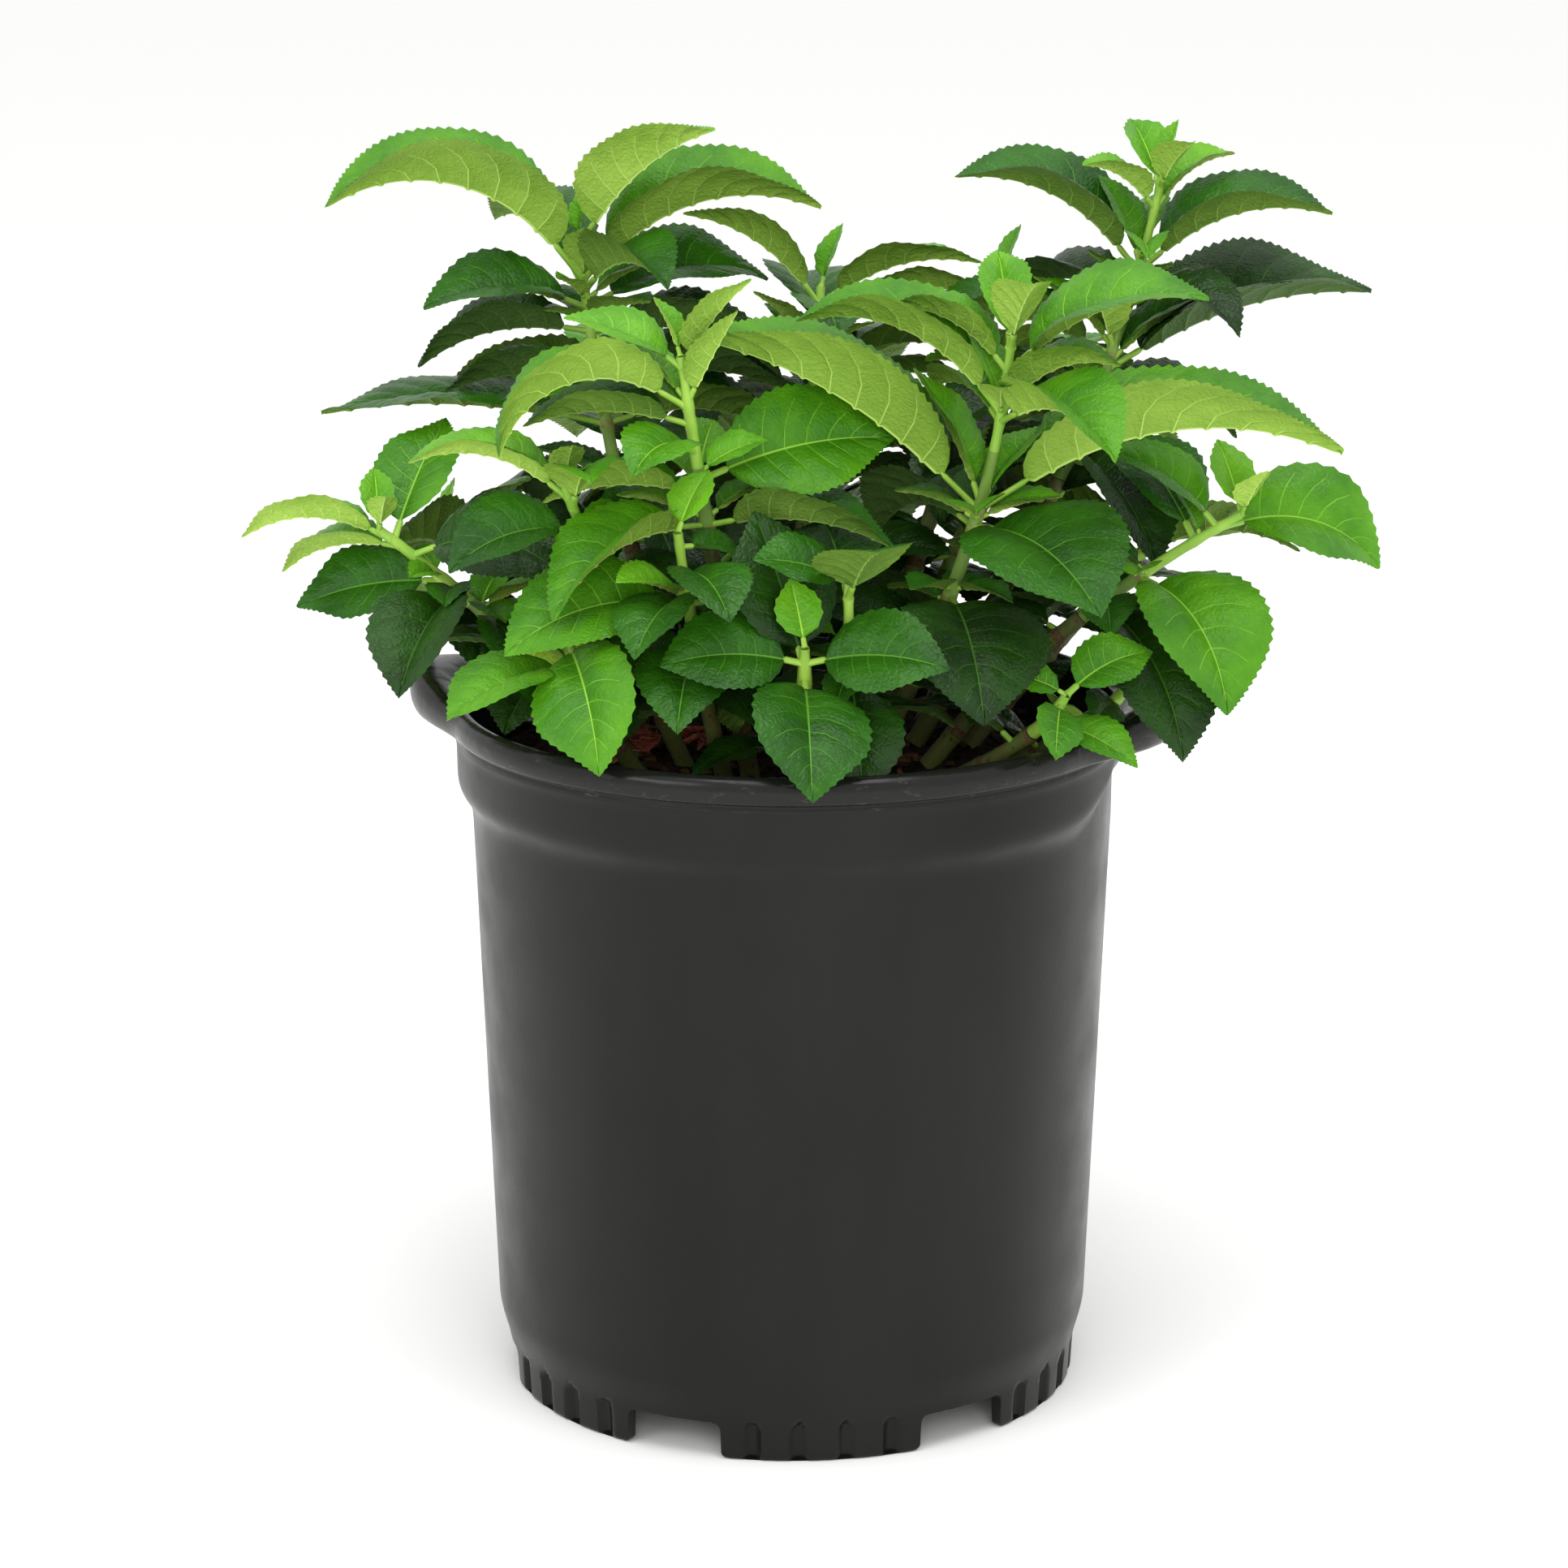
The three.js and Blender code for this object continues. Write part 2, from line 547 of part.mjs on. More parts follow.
function clearsLimbs(sheet, limbs, ownName) {
  return limbs.every(({ name, points, radii, box }) => {
    if (!box.intersectsBox(sheet.box)) return true;
    const room = name === ownName ? CLEARANCE.ownStem : CLEARANCE.limb;
    return points.every((point, i) => !near([point], sheet.triangles, radii[i] + room));
  });
}

// ---------------------------------------------------------------- growing the shrub

function pairsOf(shoot) {
  if (shoot.pairs) return shoot.pairs;
  const count = shoot.tip[2] < LOW_TIP ? HABIT_LOW : HABIT.below.length;
  return HABIT.below.slice(0, count).map((below, i) => {
    const length = shoot.largest * HABIT.share[i];
    return [below, shoot.turn + HABIT.turn * i, length, length, HABIT.rise[i], HABIT.droop[i]];
  });
}

// The cane's curve, and the distance below the tip where its leafy stem takes over.
function courseOf(shoot) {
  const foot = vec(...shoot.foot, MIX.level + CLEAR);
  const tip = vec(...shoot.tip);
  const run = tip.clone().sub(foot);
  const bend = foot.clone().add(vec(run.x * shoot.bow, run.y * shoot.bow, run.z * STEM.bendHeight));
  const curve = new THREE.QuadraticBezierCurve3(foot, bend, tip);
  const length = curve.getLength();
  const leafy = Math.max(...pairsOf(shoot).map(([below]) => below)) + STEM.reachPastLast;
  return { curve, length, leafy };
}

// Evenly spaced numbers from a to b, and points along a curve between two distances.
const blend = (a, b, count) => Array.from({ length: count + 1 }, (_, i) => a + ((b - a) * i) / count);

function stretch({ curve, length }, from, to, steps) {
  return blend(from / length, to / length, steps).map((u) => curve.getPointAt(Math.min(u, 1)));
}

// The woody cane from the mix to its leafy stem, and that stem up to the shoot's tip.
function limbsOf(shoot) {
  const course = courseOf(shoot);
  const join = course.length - course.leafy;
  const caneSteps = Math.max(3, Math.round(join / STEM.caneStep));
  const stemSteps = Math.max(2, Math.round(course.leafy / STEM.leafyStep));
  const thickening = (STEM.footRadius - STEM.joinRadius) * Math.min(1, join / STEM.fullCane);
  const joinWay = course.curve.getTangentAt(join / course.length);
  return {
    course,
    cane: {
      points: stretch(course, 0, join - CLEAR, caneSteps),
      radii: blend(STEM.joinRadius + thickening, STEM.joinRadius, caneSteps),
      footWay: vec(0, 0, 1),
      endWay: joinWay,
    },
    stem: {
      points: stretch(course, join, course.length, stemSteps),
      radii: blend(STEM.joinRadius, STEM.tipRadius, stemSteps),
      footWay: joinWay,
    },
  };
}

// Points along a limb close enough together to stand for it in the tests.
function limbSamples(name, { points, radii }) {
  const dense = { name, points: [], radii: [] };
  for (let i = 0; i < points.length - 1; i++) {
    const steps = Math.ceil(points[i].distanceTo(points[i + 1]) / LIMB_SPACING);
    for (let k = 0; k < steps; k++) {
      dense.points.push(points[i].clone().lerp(points[i + 1], k / steps));
      dense.radii.push(radii[i]);
    }
  }
  dense.points.push(points.at(-1));
  dense.radii.push(radii.at(-1));
  dense.box = new THREE.Box3().setFromPoints(dense.points).expandByScalar(STEM.footRadius);
  return dense;
}

// The wishes for one leaf, before it is turned or shrunk to find room.
function leafWish(shoot, shootIndex, course, pair, pairIndex, side) {
  const [below, azimuthOfFirst, first, second, rise, droop, own] = pair;
  const habit = { ...shoot, ...own };
  const random = (k) => chance(shootIndex, pairIndex, side, k) - 0.5;
  const azimuth = azimuthOfFirst + 180 * side + random(0) * JITTER.azimuth;
  const base = course.curve.getPointAt((course.length - below) / course.length);
  const outward = Math.hypot(shoot.tip[0], shoot.tip[1]) / OUTWARD;
  const [faceX, faceY] = habit.face ?? [shoot.tip[0] / outward, shoot.tip[1] / outward];
  const facing = -Math.sin(radians(azimuth)) * faceX + Math.cos(radians(azimuth)) * faceY;
  return {
    base,
    azimuth,
    length: side ? second : first,
    rise: rise + random(1) * JITTER.rise,
    droop: droop + random(2) * JITTER.droop,
    roll: -FACING * facing + random(3) * JITTER.roll,
    width: (habit.width ?? LEAF.width) + random(4) * LEAF.widthJitter,
    fold: habit.fold,
  };
}

// The first turned, lifted or shrunk form of a leaf that touches nothing, or null.
function settle(wish, placed, limbs, shootName) {
  for (const shrink of SHRINKS) {
    for (const [turn, lift] of SHIFTS) {
      const plan = leafPlan({
        ...wish,
        azimuth: wish.azimuth + turn,
        rise: wish.rise + lift,
        length: wish.length * shrink,
      });
      const sheet = bladeSheet(plan);
      if (!clearsPot(sheet) || !clearsLimbs(sheet, limbs, shootName)) continue;
      if (placed.some((other) => bladesClash(sheet, other))) continue;
      return { plan, sheet };
    }
  }
  return null;
}

// A leaf as one skin of four-cornered rings: the stalk, then a blade thickest at its midrib.
function leafSolid(plan) {
  const half = (plan.length * LEAF.thickness + LEAF.thicknessLeast) / 2;
  const last = plan.spine.length - 1;
  const ring = (centre, i, left, right, thick) => [
    left,
    centre.clone().addScaledVector(plan.up[i], thick),
    right,
    centre.clone().addScaledVector(plan.up[i], -thick),
  ];
  const round = (centre, radius) =>
    ring(
      centre, 0,
      centre.clone().addScaledVector(plan.side[0], radius),
      centre.clone().addScaledVector(plan.side[0], -radius),
      radius,
    );
  const stalk = Math.min(LEAF.stalkRadius, LEAF.stalkLeast + plan.length * LEAF.stalkGrowth);
  const rings = [round(plan.stalk[0], stalk), round(plan.stalk[1], stalk * 0.8)];
  for (let i = 1; i < last; i++) {
    rings.push(ring(plan.spine[i], i, plan.left[i], plan.right[i], half));
  }
  return solidOf(skin(rings, null, plan.spine[last]));
}

function growShrub() {
  const limbs = new Map(SHOOTS.map((shoot) => [shoot.name, limbsOf(shoot)]));
  const obstacles = [...limbs].flatMap(([name, { cane, stem }]) => [
    limbSamples(name, cane),
    limbSamples(name, stem),
  ]);
  const placed = [];
  return SHOOTS.flatMap((shoot, shootIndex) => {
    const { course, cane, stem } = limbs.get(shoot.name);
    let mass = solidOf(limb(stem, STEM.sides));
    pairsOf(shoot).forEach((pair, pairIndex) => {
      for (const side of [0, 1]) {
        const wish = leafWish(shoot, shootIndex, course, pair, pairIndex, side);
        if (wish.length <= 0) continue;
        const leaf = settle(wish, placed, obstacles, shoot.name);
        if (!leaf) continue;
        placed.push(leaf.sheet);
        mass = mass.add(leafSolid(leaf.plan));
      }
    });
    return [
      meshOf(solidOf(limb(cane, STEM.sides)), `cane_${shoot.name}`, FINISH.cane),
      meshOf(largestBody(mass), `leaves_${shoot.name}`, FINISH.leaf),
    ];
  });
}

// ---------------------------------------------------------------- assembly

const plant = new THREE.Group();
plant.add(pot(), pottingMix(), ...growShrub());

// The origin lies on the ground under the middle of the whole plant.
const middle = new THREE.Box3().setFromObject(plant).getCenter(vec(0, 0, 0));
plant.position.set(-middle.x, -middle.y, 0);

const group = new THREE.Group();
group.add(plant);
export default group;
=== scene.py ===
"""A leafy hydrangea in its nursery pot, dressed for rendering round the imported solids.

Metres and +Z up in Blender. The shapes are worked out in millimetres from the pot's axis at ground
level, with the plant's front towards -Y, and put() carries them to the frame.
"""
import math

import bmesh
import bpy
import numpy as np
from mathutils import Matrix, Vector


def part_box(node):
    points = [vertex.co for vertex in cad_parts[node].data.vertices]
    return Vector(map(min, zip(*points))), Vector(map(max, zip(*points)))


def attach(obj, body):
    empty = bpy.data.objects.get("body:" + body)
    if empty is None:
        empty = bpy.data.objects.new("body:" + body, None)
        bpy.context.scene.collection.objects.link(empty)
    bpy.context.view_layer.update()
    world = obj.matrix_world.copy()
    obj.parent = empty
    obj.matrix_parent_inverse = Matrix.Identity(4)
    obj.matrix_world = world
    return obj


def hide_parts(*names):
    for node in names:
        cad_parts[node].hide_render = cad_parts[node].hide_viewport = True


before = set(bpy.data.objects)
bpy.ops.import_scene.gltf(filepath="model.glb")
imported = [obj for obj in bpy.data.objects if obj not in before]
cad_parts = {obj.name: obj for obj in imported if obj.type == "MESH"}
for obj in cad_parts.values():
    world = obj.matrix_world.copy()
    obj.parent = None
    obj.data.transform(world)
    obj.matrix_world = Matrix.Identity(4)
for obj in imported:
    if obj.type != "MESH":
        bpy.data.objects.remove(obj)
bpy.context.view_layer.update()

# ------------------------------------------------------------------ driving dimensions, in mm

MM = 0.001
POT_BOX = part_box("pot")
AXIS = (np.array(POT_BOX[0]) + np.array(POT_BOX[1])) / 2 / MM * [1, 1, 0]  # the pot's axis in plan
CLEAR = 0.3  # running gap between neighbouring solids

POT = dict(
    top=240, lip_radius=117, lip_depth=9, lip_roll=6.6, collar_radius=114, collar_foot=205,
    body_top_radius=109, body_foot_radius=102.2, foot_radius=98, foot_top=25, floor=14, wall=2.6,
)
GRIP = dict(turn=-10, half_angle=26, reach=16, rise=12, collar_left=5, sweep_from=34, sweep_to=8)
FEET = dict(
    pads=6, first_notch=-114, notch_width=34, notch_height=13, grooves=4, groove_pitch=9.3,
    groove_width=6.6, groove_height=14, groove_depth=2.4, rounding=3,
)
MIX_LEVEL = 218

STALK_SHARE = 0.17  # of the blade's length
BLADE_WIDTH, WIDTH_JITTER = 0.68, 0.06
FOLD_FROM, FOLD_LOSS = 1.12, 0.4  # a blade is folded most at its base and opens towards its tip
DROOP_POWER = 1.1  # a blade bends a little more towards its tip
CUTS = [(42, 3), (72, 4), (math.inf, 5)]  # folds across a blade in the tests, by its length
STALK_RADIUS = 1.5
STEM = dict(
    tip=1.5, join=2.9, foot=3.9, full_cane=80, bend_height=0.55, past_last=8, cane_step=14,
    leafy_step=16, sides=5,
)
# The radius of a round limb with the same section as the solids' five-sided one, as a share of it.
ROUND = math.sqrt(STEM["sides"] / (2 * math.pi) * math.sin(2 * math.pi / STEM["sides"]))
JITTER = dict(azimuth=8, rise=6, droop=8, roll=12)
FACING, OUTWARD = 50, 0.75
ROOM = dict(blade=2.4, stalk=1.2, limb=1.2, own_stem=0.2, rim=2.5, mix=2.5)
LIMB_SPACING = 4
STALK_POINTS = np.array([0.55, 0.8])
SHIFTS = [
    (0, 0), (8, 0), (-8, 0), (0, 8), (0, -8), (16, 0), (-16, 0), (14, 8), (-14, 8),
    (0, 16), (0, -16), (26, 0), (-26, 0), (22, 14), (-22, 14),
]
SHRINKS = [1, 0.82, 0.66]

# Shoots, by the same rule as the solids: foot on the mix, tip, bow of the cane, fold of the blades,
# the way that blades face, and pairs of opposite leaves [distance below the tip, azimuth of the
# first, its length, the other's length, rise, droop, and what is the pair's own instead of the
# shoot's]. tones gives each pair's tone of leaf: y young, f fresh, m mature and s yellowing are
# ages of leaf, and d is painted shade: a darker green for leaves low, behind or inside the crown,
# where shade falls. The last letter holds for the pairs below. singles are leaves of the dressing
# alone, each in front of a bare stretch of stem: (distance below the tip, azimuth, length, rise,
# droop, tone).
SHOOTS = [
    dict(name="front_right", foot=(25, -22), tip=(71, -52, 372), bow=0.9, fold=40, face=(0, 0.02),
         tones="yyffffffmddd", pairs=[
             (0, 60, 16, 14, 80, 10), (4, 100, 34, 36, 64, 30), (12, 172, 40, 0, 48, 55),
             (12, 352, 62, 0, 44, 56, dict(face=(0, -0.35), fold=26)), (26, 166, 68, 40, 50, 68),
             (29, 120, 40, 60, 34, 66), (60, 178, 98, 0, 44, 38, dict(face=(0, 0.15))),
             (60, 0, 108, 0, 42, 58, dict(face=(0, 0.05), width=0.6)),
             (66, 302, 64, 0, 8, 52, dict(face=(0, -0.5), fold=14, width=0.95)),
             (66, 120, 60, 0, 12, 60), (92, 283, 56, 0, -6, 58, dict(fold=12, width=1)),
             (97, 100, 60, 0, -4, 50)]),
    dict(name="front_left", foot=(-14, -27), tip=(-36, -62, 367), bow=0.6, fold=36, face=(0, 0.05),
         tones="yyfffmffmf", pairs=[
             (0, 150, 18, 16, 70, 20), (4, 168, 36, 0, 36, 34, dict(face=(0, -0.4), fold=22)),
             (4, 348, 32, 0, 60, 25), (18, 198, 66, 0, 50, 105, dict(face=(0, 0.2))),
             (16, 335, 46, 0, 78, 8), (24, 182, 48, 0, 22, 40),
             (44, 4, 58, 0, 22, 26, dict(face=(0, -1), fold=14, width=0.74)),
             (48, 182, 46, 0, 10, 40), (60, -8, 56, 0, 12, 40, dict(face=(0, 0.2))),
             (60, 200, 60, 0, 5, 60)],
         singles=[(34, 240, 36, 26, 70, "f"), (52, 262, 34, 10, 60, "f")]),
    dict(name="back_left", foot=(-38, 14), tip=(-73, 42, 390), bow=0.75, fold=42, face=(0, 0.08),
         tones="yyyffmmddmmd", pairs=[
             (0, 60, 14, 14, 80, 10), (2, 145, 34, 0, 76, 16), (3, 332, 60, 0, 72, 42),
             (14, 188, 88, 0, 51, 84),
             (14, 7, 78, 0, 46, 70, dict(face=(0, -0.12))), (18, 300, 54, 60, 50, 70),
             (24, 205, 52, 60, 24, 50, dict(face=(0, -0.4), fold=24)), (32, 176, 66, 60, 26, 52),
             (50, 186, 46, 58, 14, 40), (64, 186, 84, 0, 14, 26, dict(fold=14)),
             (64, 8, 56, 0, 16, 50), (88, 110, 60, 60, 0, 60)]),
    dict(name="back_right", foot=(42, 16), tip=(126, 48, 409), bow=0.8, fold=36, face=(0, -0.12),
         tones="yyyfmdmdd", pairs=[
             (0, 20, 18, 16, 78, 10), (3, 110, 28, 26, 66, 30), (10, 30, 32, 30, 52, 50),
             (28, 90, 46, 28, 35, 70), (32, 181, 64, 62, 50, 60), (44, 135, 50, 46, 25, 75),
             (62, 184, 62, 0, 30, 54), (68, 6, 86, 0, 28, 36), (80, 200, 60, 52, 10, 60),
             (100, 110, 60, 60, 0, 60)]),
    dict(name="right_low", foot=(46, -14), tip=(149, -28, 308), bow=0.35, fold=22, face=(0, -0.3),
         width=0.74, tones="yffmfdd", pairs=[
             (0, 120, 24, 20, 60, 20), (9, 2, 52, 0, 16, 76, dict(face=(0, -0.8), width=0.84)),
             (9, 170, 40, 0, 50, 40), (18, 125, 46, 46, 50, 34),
             (40, -58, 58, 0, -8, 78, dict(width=0.88)), (40, 130, 60, 0, 16, 60),
             (56, 120, 60, 60, 0, 60)]),
    dict(name="left_low", foot=(-54, -4), tip=(-138, -15, 300), bow=0.45, fold=30, face=(0, 0),
         tones="yyfymddm", pairs=[
             (0, 100, 20, 18, 60, 20), (5, 180, 46, 0, 36, 60, dict(face=(0, 0.2))),
             (6, 60, 44, 0, 68, 24, dict(fold=20, width=0.74)), (9, 166, 40, 0, 20, 50),
             (28, 178, 44, 0, 18, 26, dict(face=(0, -0.8), fold=14, width=0.76)),
             (14, 335, 54, 0, 22, 70, dict(face=(0, -0.7), fold=16, width=0.74)),
             (34, 250, 48, 0, -10, 50, dict(width=0.8)), (46, 295, 50, 60, -5, 50)]),
    dict(name="left_middle", foot=(-36, -14), tip=(-74, -60, 324), bow=0.6, fold=26, face=(0, 0),
         width=0.74, tones="yyffmmsmf", pairs=[
             (0, 100, 20, 18, 60, 30), (5, 174, 60, 0, 38, 64, dict(face=(0, 0.1))),
             (5, 350, 40, 0, 50, 60, dict(face=(0, -0.5))), (9, 100, 46, 36, 50, 70),
             (18, 205, 42, 40, 10, 55, dict(face=(0, -0.6))), (40, 160, 40, 50, 0, 60),
             (58, 196, 48, 0, 0, 50, dict(face=(0, -0.8), fold=12, width=0.82)),
             (60, 300, 40, 0, 0, 50)]),
    dict(name="left_front", foot=(-22, -40), tip=(-37, -72, 311), bow=0.7, fold=16, width=0.76,
         tones="ymfm", pairs=[
             (0, 60, 22, 20, 60, 30), (5, 212, 44, 36, 12, 50), (26, 198, 56, 46, 6, 50),
             (44, 240, 46, 40, -10, 50)],
         singles=[(15, 300, 38, 14, 60, "m"), (24, 248, 40, 8, 56, "m")]),
    dict(name="front_low", foot=(3, -46), tip=(4, -86, 276), bow=0.8, fold=12, width=0.84,
         tones="ydmm", pairs=[
             (0, 115, 20, 16, 70, 14), (9, 118, 47, 0, 62, 14), (6, 187, 42, 42, 14, 34),
             (12, 250, 50, 0, -10, 50), (15, 300, 0, 44, 4, 40)]),
    dict(name="left_front_low", foot=(-50, -32), tip=(-75, -72, 283), bow=0.8, fold=14, width=0.84,
         tones="fysff", pairs=[
             (0, 100, 34, 18, 60, 25), (3, 203, 42, 0, 4, 44, dict(face=(0, -0.6))),
             (3, 20, 30, 0, 30, 50), (8, 285, 48, 0, -8, 50), (20, 215, 44, 34, -6, 40)]),
    dict(name="right_front_low", foot=(22, -50), tip=(18, -76, 296), bow=0.9, fold=16, width=0.8,
         tones="mmdd", pairs=[
             (0, 22, 44, 30, 28, 24), (6, 100, 40, 44, 40, 30), (20, 330, 58, 44, 2, 50),
             (34, 275, 50, 40, -20, 40)]),
    dict(name="right_front_bud", foot=(48, -42), tip=(89, -76, 258), bow=0.8, fold=14, width=0.76,
         tones="fff", pairs=[
             (0, 30, 30, 18, 34, 40), (4, 262, 24, 20, -10, 40), (12, 330, 30, 20, -10, 30)]),
    dict(name="right_rim", foot=(66, -26), tip=(111, -52, 256), bow=0.8, fold=12, width=0.84,
         tones="mdd", pairs=[
             (0, 40, 24, 10, 40, 30), (4, 292, 48, 20, -16, 44, dict(width=1)),
             (8, 60, 34, 30, 10, 40)]),
    dict(name="middle_back", foot=(-2, 20), tip=(10, 62, 370), bow=0.6, fold=24, face=(0, 0.3),
         tones="yfmmdd", pairs=[
             (0, 40, 20, 18, 70, 10), (6, 172, 50, 52, 36, 50), (14, 100, 50, 46, 30, 60),
             (28, 185, 66, 62, 20, 55), (44, 100, 60, 60, 5, 60), (66, 5, 60, 60, 0, 60)]),
    dict(name="right_middle_back", foot=(22, 14), tip=(72, 60, 372), bow=0.6, fold=24,
         face=(0, 0.3), tones="yfmmdd", pairs=[
             (0, 40, 18, 18, 70, 10), (6, 170, 44, 44, 34, 50), (16, 95, 50, 50, 25, 60),
             (34, 175, 60, 60, 10, 60), (56, 80, 60, 60, 0, 60)]),
    # The shoots of the far side follow the ordinary habit: largest is their longest blade.
    dict(name="rear_left", foot=(-26, 38), tip=(-62, 104, 330), bow=0.6, fold=22,
         largest=72, turn=20),
    dict(name="rear_middle", foot=(2, 44), tip=(12, 124, 322), bow=0.6, fold=20,
         largest=76, turn=75),
    dict(name="rear_right", foot=(28, 40), tip=(84, 110, 328), bow=0.6, fold=22,
         largest=72, turn=130),
    dict(name="left_back", foot=(-56, 18), tip=(-122, 56, 284), bow=0.5, fold=18,
         largest=62, turn=60),
    dict(name="right_back", foot=(60, 12), tip=(132, 62, 286), bow=0.5, fold=18,
         largest=62, turn=150),
    dict(name="rear_left_low", foot=(-38, 50), tip=(-84, 90, 280), bow=0.35, fold=14, largest=54,
         turn=100),
    dict(name="rear_low", foot=(-14, 60), tip=(-22, 116, 280), bow=0.35, fold=14,
         largest=56, turn=10),
    dict(name="rear_right_low", foot=(46, 46), tip=(94, 92, 280), bow=0.35, fold=14, largest=54,
         turn=45),
]
# HABIT's last tones, d, are painted shade: a darker green for the lowest pairs, under the crown.
HABIT = dict(
    below=(0, 6, 16, 30, 48, 70), share=(0.28, 0.6, 0.9, 1, 0.92, 0.8),
    rise=(72, 52, 36, 20, 8, -4), droop=(12, 36, 56, 62, 60, 56), turn=90, tones="yfmmdd",
)
# Leaves down the canes, under the masses, and the two leaves of a side bud. In JITTER, INNER_JITTER
# and AXIL_JITTER are the whole spreads of what varies by leaf.
# INNER tones are mostly d, painted shade: a darker green for leaves inside the crown's shade.
INNER = dict(
    gap=17, length=44, least_height=22, rise=22, droop=44, fold=14, width=0.76, tones="ddm",
)
INNER_JITTER = dict(azimuth=30, length=0.4, rise=40, droop=30, roll=24)
AXIL = dict(
    least_below=16, least_leaf=34,  # the leaves that have a side bud
    share=0.46, spread=36, rise=24, height=2.5, droop=30, roll_share=0.6, fold=24, width=0.7,
)
AXIL_JITTER = dict(azimuth=20, length=0.5, rise=16, droop=20)
SINGLE = dict(fold=18, width=0.76)  # the leaves listed as a shoot's singles
HABIT_LOW, LOW_TIP = 3, 290  # pairs on a shoot whose tip is lower than this height
SHOOTS_A_PIECE = 3

# How a dressed blade is made. A pair of sizes is a part in mm that all leaves share and a part that
# is a share of the blade's length.
ACROSS = np.array([0.28, 0.52, 0.76, 1.0])  # columns of a blade between its midrib and margin
VEINS = dict(
    least_gaps=6, gap_each=28,  # gaps between side veins: the least, and one more for each 28 mm
    half=0.022,  # half a side vein's width, as a share of a gap
    lead=0.2,  # how far forward it reaches the margin, as a share of length
    thinning=0.7, crowding=1.08,
)
TEETH = dict(pitch=2.9, point_at=0.62, notch=-0.35, depth=(0.34, 0.008))
RELIEF = dict(
    midrib=(0.25, 0.0045), keel=(0.35, 0.011), rib=(0.16, 0.005), thickness=(0.2, 0.002),
    swell=0.012, wave=0.011,  # shares of length
    arch=0.07, turn_down=0.045,  # shares of half the width
    groove=0.15,
)
# A leaf stalk: its radius, its share of that along the way and at the clasping foot, and how far
# it runs on under the blade, as a share of its length.
STALK = dict(
    rows=9, sides=10, radius=(0.5, 0.03), plain=0.82, clasp=0.5, shrink=7, last=0.55, past_end=1.06,
    groove=0.35,
)
# Below OLD_STEM a stem is darker green: partly older stem, partly painted shade in the crown.
OLD_STEM = 40  # distance below the tip where a stem begins to harden
NODE = dict(width=2.2, swell=0.2, most=1.2, ring=1.3)  # the ring on a leafy stem at each pair
CANE = dict(
    row=1.6, sides=16, first_scar=14, scar_spread=10, scar_gap=24, scar_width=1.8, scar=0.16,
    ribs=0.03, grain=0.025, pores=0.09,  # shares of the cane's radius
)
# The tones: young, fresh, mature, d for painted shade (a darker green in shade), and yellowing.
TONES = "yfmds"
YOUNGER = dict(y="y", f="y", m="f", d="m", s="y")  # the tone of a side bud's leaves, by its leaf's
# The first material of each kind in a leaf piece; side veins are fainter than the midrib.
UPPER, UNDER, UPPER_RIB, UNDER_RIB, UPPER_VEIN, UNDER_VEIN = 0, 5, 10, 15, 20, 25

# What lies in the pot: the mix's ripples (height, wavelength), bark chips and fallen sepals.
MIX_RIPPLES = [(2.2, 26), (1.4, 7), (0.8, 3.2)]
MIX_DISH = 3  # how far the mix falls at the wall
CHIPS = dict(count=420, length=(1.4, 5.5), width=(0.8, 2.4), thickness=(0.4, 1.1), lean=0.3)
SEPALS = dict(
    heaps=[((-56, 4), 9), ((-34, -4), 6)],  # each heap's middle and its count
    size=(4.5, 7.5), cup=(0.2, 0.6), thickness=0.35,
)

# ------------------------------------------------------------------ small helpers


def chance(*keys):
    """A number from 0 to 1 that depends only on its keys: the fraction of a large sine."""
    n = sum((i + 1) * 7.31 * key for i, key in enumerate(keys))
    v = math.sin(n * 12.9898 + 4.1414) * 43758.5453
    return v - math.floor(v)


def colour(code):
    """The linear colour of an sRGB hex value, with full alpha."""
    channels = np.array([int(code[i : i + 2], 16) for i in (1, 3, 5)]) / 255
    linear = np.where(channels <= 0.04045, channels / 12.92, ((channels + 0.055) / 1.055) ** 2.4)
    return (*linear.tolist(), 1.0)


def ring_faces(rows, columns):
    """Quads between rows of points that each close on themselves."""
    here = np.arange(rows - 1)[:, None] * columns + np.arange(columns)
    beside = np.arange(rows - 1)[:, None] * columns + (np.arange(columns) + 1) % columns
    return np.stack([here, beside, beside + columns, here + columns], axis=-1).reshape(-1, 4)


class Gathering:
    """Many small skins joined into one piece: points, quads and the material of each quad."""

    def __init__(self):
        self.points, self.faces, self.kinds, self.count = [], [], [], 0

    def add(self, points, faces, kinds):
        """Takes in a skin, its quads counted from its first point, and one kind or one a quad."""
        points = points.reshape(-1, 3)
        self.points.append(points)
        self.faces.append(faces + self.count)
        self.kinds.append(np.broadcast_to(kinds, len(faces)))
        self.count += len(points)

    def put(self, name, materials, slot, nodes=(), sharp=50):
        """Makes one piece of all that was added."""
        points, faces = np.concatenate(self.points), np.concatenate(self.faces)
        return put(name, points, faces, materials, nodes, np.concatenate(self.kinds), sharp)


